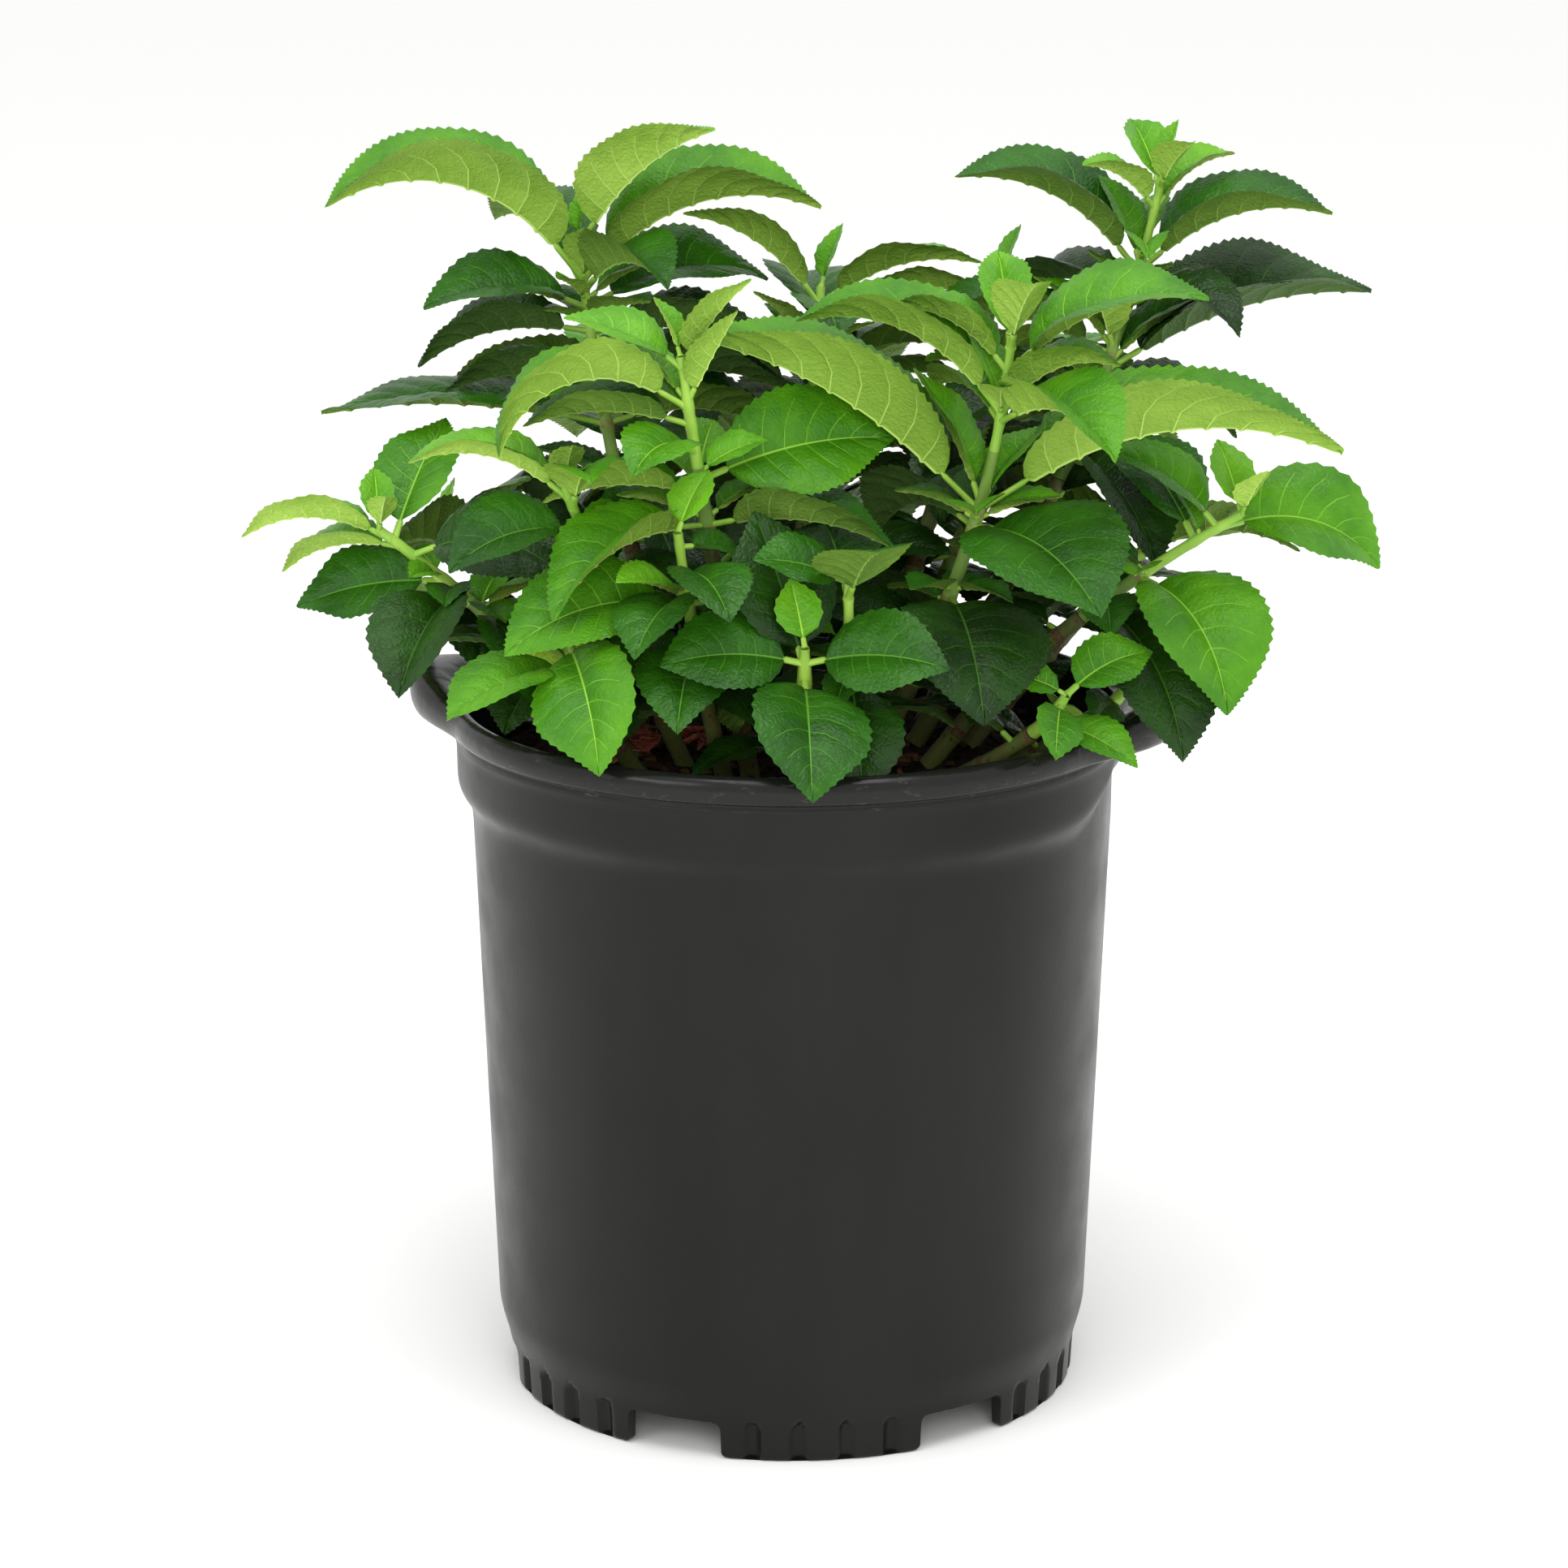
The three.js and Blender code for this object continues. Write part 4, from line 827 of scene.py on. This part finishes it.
def grow():
    """Every shoot's course and its settled leaves, each with its tone and its own number."""
    courses = [Course(shoot) for shoot in SHOOTS]
    limbs = [dict(name=shoot["name"], points=points, radii=radii,
                  low=points.min(axis=0) - STEM["foot"], high=points.max(axis=0) + STEM["foot"])
             for shoot, course in zip(SHOOTS, courses) for points, radii in course.samples()]
    placed, shrub = [], []
    for index, (shoot, course) in enumerate(zip(SHOOTS, courses)):
        leaves = []
        tones = shoot.get("tones", HABIT["tones"])
        for pair_index, pair in enumerate(pairs_of(shoot)):
            for side in (0, 1):
                wish = leaf_wish(shoot, index, course, pair, pair_index, side)
                leaf = settle(wish, placed, limbs, shoot["name"]) if wish["length"] > 0 else None
                if leaf:
                    tone = tones[min(pair_index, len(tones) - 1)]
                    leaves.append(dict(leaf, tone=tone, key=(index, pair_index, side)))
        shrub.append((shoot, course, leaves))
    for index, (shoot, course, leaves) in enumerate(shrub):
        small = [*axil_wishes(course, leaves), *inner_wishes(index, course)]
        for wish in [*front_wishes(shoot, index, course), *small]:
            leaf = settle(wish, placed, limbs, shoot["name"])
            if leaf:
                leaves.append(leaf)
    return shrub


def front_wishes(shoot, index, course):
    """The shoot's singles, which stand in front of its stem where the pairs leave it bare."""
    for number, (below, azimuth, length, rise, droop, tone) in enumerate(shoot.get("singles", [])):
        yield dict(SINGLE, base=course.at(course.length - below), azimuth=azimuth, length=length,
                   rise=rise, droop=droop, roll=FACING * chance(index, number, 61) - FACING / 2,
                   below=below, tone=tone, key=(index, number, 7))


def axil_wishes(course, leaves):
    """Small leaves of the side buds: two in the angle above each large older leaf, which spread to
    either side of it and rise more steeply."""
    jitter = AXIL_JITTER
    for leaf in leaves:
        if leaf["below"] < AXIL["least_below"] or leaf["length"] < AXIL["least_leaf"]:
            continue
        for way in (-1, 1):
            random = [chance(*leaf["key"], way, 40 + k) - 0.5 for k in range(4)]
            yield dict(
                base=course.at(course.length - leaf["below"] + AXIL["height"]),
                azimuth=leaf["azimuth"] + way * (AXIL["spread"] + jitter["azimuth"] * random[0]),
                length=leaf["length"] * AXIL["share"] * (1 + jitter["length"] * random[1]),
                rise=leaf["rise"] + AXIL["rise"] + jitter["rise"] * random[2],
                droop=AXIL["droop"] + jitter["droop"] * random[3],
                roll=leaf["roll"] * AXIL["roll_share"], fold=AXIL["fold"], width=AXIL["width"],
                below=leaf["below"], tone=YOUNGER[leaf["tone"]], key=(*leaf["key"], way),
            )


def inner_wishes(index, course):
    """Shaded leaves of the old wood, which the solids leave out: pairs down the cane every
    INNER["gap"] mm, each a quarter turn from the last, shorter than the leaves above them."""
    below, pair_index, jitter = INNER["gap"] / 2, 0, INNER_JITTER
    first_turn = 360 * chance(index, 31)
    while below < course.join - INNER["least_height"]:
        for side in (0, 1):
            random = [chance(index, pair_index, side, 20 + k) - 0.5 for k in range(5)]
            yield dict(
                base=course.at(course.join - below),
                azimuth=90 * pair_index + 180 * side + first_turn + jitter["azimuth"] * random[0],
                length=INNER["length"] * (1 + jitter["length"] * random[1]),
                rise=INNER["rise"] + jitter["rise"] * random[2],
                droop=INNER["droop"] + jitter["droop"] * random[3],
                roll=jitter["roll"] * random[4], fold=INNER["fold"], width=INNER["width"],
                # painted shade: inner leaves mostly take tone d, darker for the crown's shade
                tone=INNER["tones"][pair_index % len(INNER["tones"])],
                key=(index, pair_index, side + 2),
            )
        below += INNER["gap"]
        pair_index += 1


# ------------------------------------------------------------------ leaves, stems and canes


def of_length(size, leaf):
    """A size of one part that all leaves share and one that is a share of the blade's length."""
    return size[0] + size[1] * leaf["length"]


def blade_rows(leaf):
    """Row places along a blade, counted in gaps between side veins, and the tooth at each row's
    end: 1 at a point, less in a notch. Each vein keeps a narrow strip of its own."""
    gaps = VEINS["least_gaps"] + round(leaf["length"] / VEINS["gap_each"])
    teeth = max(1, round(leaf["length"] * VEINS["crowding"] / gaps / TEETH["pitch"]))
    starts = np.arange(teeth)
    within = np.append(np.stack([starts, starts + TEETH["point_at"]], axis=1).ravel() / teeth, 1)
    within = VEINS["half"] + (1 - 2 * VEINS["half"]) * within
    rows = (np.arange(gaps)[:, None] + within).ravel()
    tooth = np.tile(np.append(np.tile([TEETH["notch"], 1.0], teeth), TEETH["notch"]), gaps)
    return np.concatenate([[0], rows, [gaps]]), np.concatenate([[0], tooth, [0]]), gaps


def blade_grid(leaf):
    """Where the points of a blade lie along it and across it. A row follows the line of the side
    veins: from the midrib at share m it runs forward to the margin at m + 4 lead m (1 - m), by
    |c|^1.5 across. The three columns in the middle are the midrib's own."""
    rows, tooth, gaps = blade_rows(leaf)
    half_columns = np.concatenate([[0.0, 1.0], ACROSS])
    c = np.concatenate([-half_columns[:0:-1], half_columns])
    step = np.arange(len(c)) - len(c) // 2  # columns away from the midrib
    middle = np.abs(step) <= 1
    span = np.where(middle, 0, np.abs(c))
    vein = np.round(rows)
    on_vein = (np.abs(rows - vein) < VEINS["half"] * 1.01) & (vein > 0) & (vein < gaps)
    narrowed = vein[:, None] + (rows - vein)[:, None] * (1 - VEINS["thinning"] * span)
    place = np.where(on_vein[:, None], narrowed, rows[:, None])
    m = (place / gaps) ** VEINS["crowding"]
    end = m + 4 * VEINS["lead"] * m * (1 - m)
    share = m + (end - m) * span**1.5
    margin = half_width(end, leaf) * (1 - 0.5 * np.clip((end - 0.6) / 0.4, 0, 1) ** 1.5)
    rib = np.minimum(of_length(RELIEF["midrib"], leaf) * (1 - 0.8 * m), 0.4 * margin)
    y = np.sign(c) * np.where(middle, np.abs(step) * rib, span * margin)
    fading = np.clip(end / 0.15, 0, 1) * np.clip((1 - end) / 0.08, 0, 1)
    y = y + np.sign(c) * (span == 1) * (of_length(TEETH["depth"], leaf) * tooth[:, None] * fading)
    return dict(place=place, m=m, share=share, margin=margin, y=y, sign=np.sign(c), step=step,
                middle=middle, span=span, vein=vein, on_vein=on_vein)


def blade_skin(leaf, grid):
    """The blade's closed skin: each row runs across the top and back across the underside. Over the
    plain fold lie a swell between veins, an arch across each half and a slow wave along the
    margin. The underside carries the midrib's keel and the ribs of the side veins."""
    length, key = leaf["length"], leaf["key"]
    m, share, span, y, middle = (grid[name] for name in ("m", "share", "span", "y", "middle"))
    fold = fold_at(leaf, share)
    across = np.sin(np.pi * np.clip(span, 0, 1) ** 0.8)
    swell = np.abs(np.sin(np.pi * grid["place"])) ** 0.7 * across
    arch = RELIEF["arch"] * np.sin(np.pi * span**0.9) - RELIEF["turn_down"] * span**3
    phase, waves = chance(*key, 11), 1.4 + 1.2 * chance(*key, 12)
    wave = span**2 * np.sin(2 * np.pi * (waves * share + phase + 0.2 * grid["sign"]))
    lift = np.abs(y) * np.sin(fold) + RELIEF["swell"] * length * swell + arch * grid["margin"]
    lift = lift + RELIEF["wave"] * length * wave - RELIEF["groove"] * middle
    cuts = 48
    spine, places = midrib(leaf, cuts), np.arange(cuts + 1)
    side, up = blade_axes(leaf, share)
    centre = np.stack([np.interp(share * cuts, places, spine[:, k]) for k in range(3)], -1)
    top = centre + side * (y * np.cos(fold))[..., None] + up * lift[..., None]
    thin = of_length(RELIEF["thickness"], leaf) * (1 - span**4)
    crest = np.where(grid["step"] == 0, 1, np.where(middle, 0.7, 0))
    keel = crest * of_length(RELIEF["keel"], leaf) * (1 - 0.8 * m)
    ribs = grid["on_vein"][:, None] * of_length(RELIEF["rib"], leaf) * (1 - 0.7 * span) * (span < 1)
    ends = np.clip(np.minimum(m, 1 - m) / 0.02, 0, 1)
    bottom = (top - up * ((thin + keel + ribs) * ends)[..., None])[:, 1:-1]
    return np.concatenate([top[:, ::-1], bottom], axis=1)


def blade_kinds(leaf, grid, columns):
    """The material of each quad: blade, midrib or side vein, above or below, in the leaf's tone."""
    tone, count = TONES.index(leaf["tone"]), len(grid["span"])
    vein, on_vein = grid["vein"], grid["on_vein"]
    kinds = np.full((len(vein) - 1, columns), UNDER + tone)
    kinds[:, : count - 1] = UPPER + tone
    vein_row = on_vein[:-1] & on_vein[1:] & (vein[:-1] == vein[1:])
    kinds[vein_row, 1 : count - 2] = UPPER_VEIN + tone
    kinds[vein_row, count:-1] = UNDER_VEIN + tone
    top_middle, bottom_middle = count // 2, count - 1 + count // 2
    kinds[:, top_middle - 1 : top_middle + 1] = UPPER_RIB + tone
    kinds[:, bottom_middle - 1 : bottom_middle + 1] = UNDER_RIB + tone
    return kinds


def add_blade(gathering, leaf):
    """A blade as one closed skin, its underside's quads split the same way as those above."""
    grid = blade_grid(leaf)
    skin = blade_skin(leaf, grid)
    kinds = blade_kinds(leaf, grid, skin.shape[1])
    faces = ring_faces(*skin.shape[:2]).reshape(*kinds.shape, 4)
    upper = len(grid["span"]) - 1
    faces[:, upper:] = np.roll(faces[:, upper:], -1, axis=2)
    gathering.add(skin, faces.reshape(-1, 4), kinds.ravel())


def add_stalk(gathering, leaf):
    """A leaf stalk: thick where it clasps the stem, then even, with a groove along its top, and
    flattening into the midrib."""
    start, end = leaf["base"], blade_start(leaf)
    _, up = blade_axes(leaf, np.array([0.02]))
    t = np.linspace(0, STALK["past_end"], STALK["rows"])
    points = start + (end - start) * t[:, None]
    clasp = STALK["plain"] + STALK["clasp"] * np.exp(-t * STALK["shrink"])
    radius = min(STALK_RADIUS, of_length(STALK["radius"], leaf)) * clasp
    radius[-1] *= STALK["last"]
    skin, faces = tube(points, radius, STALK["sides"])
    centre = np.concatenate([points[:1], points, points[-1:]])[:, None]
    height = ((skin - centre) * up[0]).sum(axis=-1, keepdims=True)
    groove = np.clip(height, 0, None) * STALK["groove"]
    gathering.add(skin - up[0] * groove, faces, 0)


def stem_radius(course, below, nodes):
    """The leafy stem's radius: a straight taper, swollen at each pair of leaves."""
    share = below / (course.length - course.join)
    taper = STEM["tip"] + (STEM["join"] - STEM["tip"]) * share
    swell = np.exp(-(((below[:, None] - nodes) / NODE["width"]) ** 2)).sum(axis=1)
    return taper * ROUND * (1 + NODE["swell"] * np.minimum(swell, NODE["most"]))


def add_stem(gathering, shoot, course):
    """The leafy stem from its cane to its tip, six-ribbed as young shoots are, with node rings."""
    span = course.length - course.join
    below = np.linspace(span, 0, max(8, round(span / 2)))
    nodes = np.array([pair[0] for pair in pairs_of(shoot)])
    radius = stem_radius(course, below, nodes)
    turn = np.arange(12) / 12 * 2 * np.pi
    ribs = 1 + 0.035 * np.cos(6 * turn)
    skin, faces = tube(course.at(course.length - below), radius[:, None] * ribs, 12)
    rows = np.concatenate([below[:1], below, below[-1:]])
    near_node = np.abs(rows[:-1, None] - nodes - 1.5).min(axis=1) < NODE["ring"]
    # below OLD_STEM the darker green: partly older stem, partly painted shade deep in the crown
    kinds = np.where(rows[:-1] > OLD_STEM, np.where(near_node, 2, 1), 0)
    gathering.add(skin, faces, np.repeat(kinds, 12))


def add_cane(gathering, course, index):
    """A cane from the mix to its leafy stem: a taper with old leaf scars, shallow ribs and small
    raised pores strewn by a seeded rule."""
    distance = np.linspace(0, course.join - CLEAR, max(10, round(course.join / CANE["row"])))
    taper = course.foot_radius + (STEM["join"] - course.foot_radius) * distance / course.join
    lowest = CANE["first_scar"] + CANE["scar_spread"] * chance(index, 5)
    scars = np.arange(lowest, course.join, CANE["scar_gap"])
    rings = np.exp(-(((distance[:, None] - scars) / CANE["scar_width"]) ** 2)).sum(axis=1)
    sides, along = CANE["sides"], distance[:, None]
    turn = np.arange(sides) / sides * 2 * np.pi
    ribs = CANE["ribs"] * np.cos(6 * turn + 3 * chance(index, 6))
    grain = CANE["grain"] * np.sin(along * 1.7 + 5 * np.sin(2 * turn + index))
    pores = CANE["pores"] * (np.sin(along * 3.1 + 11 * np.cos(turn * 3 + index)) > 0.965)
    relief = 1 + CANE["scar"] * rings[:, None] + ribs + grain + pores
    skin, faces = tube(course.at(distance), taper[:, None] * ROUND * relief, sides)
    rows = np.concatenate([distance[:1], distance, distance[-1:]])
    scarred = np.abs(rows[:-1, None] - scars - 0.8).min(axis=1, initial=99) < 1.6
    gathering.add(skin, faces, np.repeat(scarred, sides).astype(int))


def build_plant():
    """Blades in pieces of a few shoots each; leafy stems are one piece, and canes another."""
    shrub = grow()
    canes, stems = Gathering(), Gathering()
    masses = ["leaves_" + shoot["name"] for shoot, _, _ in shrub]
    leaf_set = leaf_materials()
    for first in range(0, len(shrub), SHOOTS_A_PIECE):
        blades = Gathering()
        for index in range(first, min(first + SHOOTS_A_PIECE, len(shrub))):
            shoot, course, leaves = shrub[index]
            add_cane(canes, course, index)
            add_stem(stems, shoot, course)
            for leaf in leaves:
                add_blade(blades, leaf)
                add_stalk(stems, leaf)
        blades.put(f"leaf_blades_{first // SHOOTS_A_PIECE + 1}", leaf_set, "leaf",
                   masses[first : first + SHOOTS_A_PIECE], sharp=75)
    # the second green: partly older stem, partly painted shade for stems deep in the crown
    stem_set = [green_stem("soft", "#98bf4a", "#7fae3c"), green_stem("older", "#7c9c42", "#64843a"),
                stem_node()]
    stems.put("leafy_stems", stem_set, "leaf", masses, sharp=60)
    canes.put("canes", [young_bark(), leaf_scar()], "cane",
              ["cane_" + shoot["name"] for shoot in SHOOTS], sharp=60)

# ------------------------------------------------------------------ materials


def principled(name, **settings):
    """A new material of that name: its node tree and its shader."""
    material = bpy.data.materials.new(name)
    material.use_nodes = True
    tree = material.node_tree
    shader = tree.nodes["Principled BSDF"]
    for key, value in settings.items():
        shader.inputs[key.replace("_", " ").title().replace("Ior", "IOR")].default_value = value
    return material, tree, shader


def place_of(tree, stretch=(1, 1, 1)):
    """Object coordinates in millimetres, stretched along the axes."""
    coordinates = add(tree, "ShaderNodeTexCoord")
    scaled = add(tree, "ShaderNodeMapping", {"Vector": coordinates.outputs["Object"]})
    scaled.inputs["Scale"].default_value = [s / MM for s in stretch]
    return scaled.outputs["Vector"]


def mixed(tree, factor, first, second, low=0.35, high=0.65):
    """Two colours mixed by a factor that is spread from low..high to 0..1."""
    spread = add(tree, "ShaderNodeMapRange", {"Value": factor}, from_min=low, from_max=high)
    blend = add(tree, "ShaderNodeMix", {0: spread.outputs[0]}, data_type="RGBA")
    blend.inputs[6].default_value = colour(first)
    blend.inputs[7].default_value = colour(second)
    return blend.outputs[2]


def bumped(tree, shader, height, depth, strength=1.0):
    """Feeds a height from 0 to 1 to the shader's normal, as a relief of that depth in mm."""
    bump = add(tree, "ShaderNodeBump", {"Height": height}, distance=depth * MM, strength=strength)
    tree.links.new(bump.outputs["Normal"], shader.inputs["Normal"])


def noise(tree, place, size, detail=3.0, roughness=0.5):
    """Noise whose swells are about size millimetres wide."""
    node = add(tree, "ShaderNodeTexNoise", {"Vector": place}, scale=1 / size, detail=detail,
               roughness=roughness)
    return node.outputs["Fac"]


def moulded_hdpe():
    """High-density polyethylene, carbon black, blow-moulded in a sand-blasted mould: a satin dark
    grey with a fine pebble, faint cloudy patches where it cooled unevenly, and a little dust."""
    material, tree, shader = principled("moulded_hdpe", roughness=0.34, specular_ior_level=0.19)
    place = place_of(tree)
    cloud = noise(tree, place_of(tree, (1, 1, 0.35)), 60)
    base = mixed(tree, cloud, "#111210", "#181917")
    tree.links.new(base, shader.inputs["Base Color"])
    gloss = add(tree, "ShaderNodeMapRange", {"Value": noise(tree, place, 22)}, from_min=0.3,
                from_max=0.7, to_min=0.27, to_max=0.4)
    tree.links.new(gloss.outputs[0], shader.inputs["Roughness"])
    bumped(tree, shader, noise(tree, place, 1.1), 0.05)
    return material


def moulded_lip():
    """The same plastic at the rolled lip: smoother and glossier from handling, with pale scuffs."""
    material, tree, shader = principled("moulded_hdpe_lip", roughness=0.25, specular_ior_level=0.25)
    place = place_of(tree)
    scuff = noise(tree, place_of(tree, (1, 1, 3)), 9, detail=6.0, roughness=0.65)
    base = mixed(tree, scuff, "#151614", "#4c493f", 0.6, 0.8)
    tree.links.new(base, shader.inputs["Base Color"])
    gloss = add(tree, "ShaderNodeMapRange", {"Value": noise(tree, place, 14)}, from_min=0.3,
                from_max=0.7, to_min=0.16, to_max=0.32)
    tree.links.new(gloss.outputs[0], shader.inputs["Roughness"])
    bumped(tree, shader, noise(tree, place, 7), 0.22)
    return material


def moist_mix():
    """Moist composted bark and peat: near black-brown, crumbly at 1 to 4 mm and never shiny."""
    material, tree, shader = principled("moist_bark_mix", roughness=0.95)
    place = place_of(tree)
    crumb = noise(tree, place, 2.2, detail=8.0, roughness=0.7)
    tree.links.new(mixed(tree, crumb, "#150d08", "#3c281a", 0.4, 0.7), shader.inputs["Base Color"])
    bumped(tree, shader, crumb, 1.6)
    return material


def bark_chip(name, code):
    """A chip of composted bark, torn along its grain: matt, with fibres about 0.6 mm wide."""
    material, tree, shader = principled("composted_bark_" + name, roughness=0.9)
    fibre = noise(tree, place_of(tree, (0.3, 1, 1)), 0.6)
    tree.links.new(mixed(tree, fibre, code, "#1b110b", 0.45, 0.75), shader.inputs["Base Color"])
    bumped(tree, shader, fibre, 0.3)
    return material


def dry_sepal():
    """A fallen flower sepal, dried on the mix: papery, dull red-brown with paler veins."""
    material, tree, shader = principled("dried_sepal", roughness=0.8)
    vein = noise(tree, place_of(tree), 1.3)
    tree.links.new(mixed(tree, vein, "#9a4638", "#c47a62"), shader.inputs["Base Color"])
    bumped(tree, shader, vein, 0.25)
    return material


def leaf_skin(name, code, shade, roughness, gloss, relief):
    """Living leaf: its own green with patches from 30 mm down to 3 mm wide, quilted by swells about
    3.5 mm wide and a net of the finest veins at a 2 mm mesh, sunk above and raised below."""
    material, tree, shader = principled(name, roughness=roughness, specular_ior_level=gloss)
    place = place_of(tree)
    patches = noise(tree, place, 30, detail=4.0, roughness=0.6)
    tree.links.new(mixed(tree, patches, code, shade, 0.32, 0.62), shader.inputs["Base Color"])
    net = add(tree, "ShaderNodeTexVoronoi", {"Vector": place}, feature="DISTANCE_TO_EDGE",
              scale=1 / 2.0)
    cells = add(tree, "ShaderNodeMapRange", {"Value": net.outputs["Distance"]}, from_min=0.0,
                from_max=0.3, to_max=0.3)
    quilt = add(tree, "ShaderNodeMath", {0: noise(tree, place, 3.5), 1: cells.outputs[0]},
                operation="ADD")
    bumped(tree, shader, quilt.outputs[0], relief)
    return material


def vein_skin(name, code, shade):
    """A vein: firm, smooth and paler than the blade."""
    material, tree, shader = principled(name, roughness=0.42, specular_ior_level=0.15)
    base = mixed(tree, noise(tree, place_of(tree), 12), code, shade)
    tree.links.new(base, shader.inputs["Base Color"])
    return material


def leaf_materials():
    """Upper faces, undersides, midribs and side veins, in the order of UPPER to UNDER_VEIN."""
    tones = [
        ("young", "#6aa81e", "#4c8c14", "#94c844", "#a3c654", "#8cb244", "#bcd878"),
        ("fresh", "#52900f", "#36700c", "#80b43a", "#93b748", "#7ba03a", "#b0d068"),
        ("mature", "#2c640b", "#1a4608", "#588c2c", "#6f9038", "#5b7d2e", "#8cae54"),
        # painted shade: this tone is a darker green for leaves low, behind or inside the crown
        ("painted_shade", "#204809", "#102a06", "#3c6620", "#4c6a30", "#3e5a28", "#5b7a3c"),
        ("yellowing", "#7fae22", "#a8ac2c", "#a6bc48", "#a9bd50", "#b7b24c", "#bccd6c"),
    ]
    skins = [leaf_skin("living_leaf_upper_" + t[0], t[1], t[2], 0.38, 0.26, 0.45) for t in tones]
    skins += [leaf_skin("living_leaf_under_" + t[0], t[4], t[5], 0.55, 0.15, -0.5) for t in tones]
    skins += [vein_skin("leaf_midrib_upper_" + t[0], t[3], t[3]) for t in tones]
    skins += [vein_skin("leaf_midrib_under_" + t[0], t[6], t[6]) for t in tones]
    skins += [vein_skin("leaf_vein_upper_" + t[0], t[3], t[1]) for t in tones]
    return skins + [vein_skin("leaf_vein_under_" + t[0], t[6], t[6]) for t in tones]


def green_stem(name, code, shade):
    """Green stem and leaf stalk: smooth and slightly waxy, yellower while it is soft."""
    material, tree, shader = principled("living_stem_" + name, roughness=0.4, ior=1.42)
    place = place_of(tree, (1, 1, 0.3))
    tree.links.new(mixed(tree, noise(tree, place, 9), code, shade), shader.inputs["Base Color"])
    bumped(tree, shader, noise(tree, place, 1.2), 0.08)
    return material


def stem_node():
    """The ring of a leaf joint, flushed brown-red where older leaves clasp it."""
    material, tree, shader = principled("living_stem_joint", roughness=0.5)
    tree.links.new(mixed(tree, noise(tree, place_of(tree), 3), "#7d9844", "#7a6038"),
                   shader.inputs["Base Color"])
    return material


def young_bark():
    """First-year bark, green turning tan: fine long cracks and small brown pores."""
    material, tree, shader = principled("living_young_bark", roughness=0.62)
    grain = noise(tree, place_of(tree, (1, 1, 0.2)), 1.6, detail=5.0)
    pores = add(tree, "ShaderNodeTexVoronoi", {"Vector": place_of(tree, (1, 1, 0.6))},
                scale=1 / 3.5)
    green = mixed(tree, grain, "#586c2e", "#625c34")
    spot = add(tree, "ShaderNodeMapRange", {"Value": pores.outputs["Distance"]}, from_min=0.12,
               from_max=0.2)
    blend = add(tree, "ShaderNodeMix", {0: spot.outputs[0], 7: green}, data_type="RGBA")
    blend.inputs[6].default_value = colour("#5a3a24")
    tree.links.new(blend.outputs[2], shader.inputs["Base Color"])
    bumped(tree, shader, grain, 0.3)
    return material


def leaf_scar():
    """Corky ring where an old leaf came away: dull brown and rough."""
    material, tree, shader = principled("corky_leaf_scar", roughness=0.85)
    cork = noise(tree, place_of(tree), 1.0)
    tree.links.new(mixed(tree, cork, "#4f3c26", "#6b5836"), shader.inputs["Base Color"])
    bumped(tree, shader, cork, 0.3)
    return material


# ------------------------------------------------------------------ stage, light and camera


def build_stage():
    """A plain pale floor that runs far past the view."""
    material, _, shader = principled("pale_floor", roughness=0.9)
    shader.inputs["Base Color"].default_value = colour("#fafaf8")
    mesh = bpy.data.meshes.new("floor")
    far = 6.0
    corners = [(-far, -far, 0), (far, -far, 0), (far, far, 0), (-far, far, 0)]
    mesh.from_pydata(corners, [], [(0, 1, 2, 3)])
    mesh.materials.append(material)
    floor = bpy.data.objects.new("floor", mesh)
    bpy.context.scene.collection.objects.link(floor)


def softbox(name, place, aim, size, power):
    """A square area light at a place, turned to an aim, in metres and watts."""
    lamp = bpy.data.lights.new(name, "AREA")
    lamp.shape, lamp.size, lamp.energy = "SQUARE", size, power
    light = bpy.data.objects.new(name, lamp)
    light.location = place
    light.rotation_euler = (Vector(aim) - Vector(place)).to_track_quat("-Z", "Y").to_euler()
    bpy.context.scene.collection.objects.link(light)
    return light


def build_light():
    """A white studio: an even white surround, large soft lights overhead, to the left and in front.
    The front one throws no reflection, so that the pot stays dark."""
    world = bpy.data.worlds.new("white_studio")
    world.use_nodes = True
    world.node_tree.nodes["Background"].inputs["Color"].default_value = (1, 1, 1, 1)
    world.node_tree.nodes["Background"].inputs["Strength"].default_value = 1.0
    bpy.context.scene.world = world
    softbox("overhead", (0.1, -0.5, 1.9), (0, 0, 0.3), 1.2, 15)
    softbox("left_front", (-1.5, -1.5, 1.3), (0, 0, 0.25), 0.9, 9)
    fill = softbox("front_fill", (0.2, -2.4, 0.9), (0, 0, 0.25), 1.4, 22)
    fill.visible_glossy = False
    bpy.context.scene.view_settings.view_transform = "Standard"


def build_camera():
    """The view from the front and a little above, over the pot's axis."""
    camera = bpy.data.cameras.new("camera")
    camera.lens, camera.sensor_width = 115.5, 36
    camera.clip_start, camera.clip_end = 0.05, 50
    holder = bpy.data.objects.new("camera", camera)
    holder.location = (np.array([-2.7, -1665, 642]) + AXIS) * MM
    holder.rotation_euler = (math.radians(90 - 14.6), 0, 0)
    bpy.context.scene.collection.objects.link(holder)
    bpy.context.scene.camera = holder


# ------------------------------------------------------------------ assembly

build_camera()
build_stage()
build_light()
build_pot()
build_mix()
build_chips()
build_sepals()
build_plant()
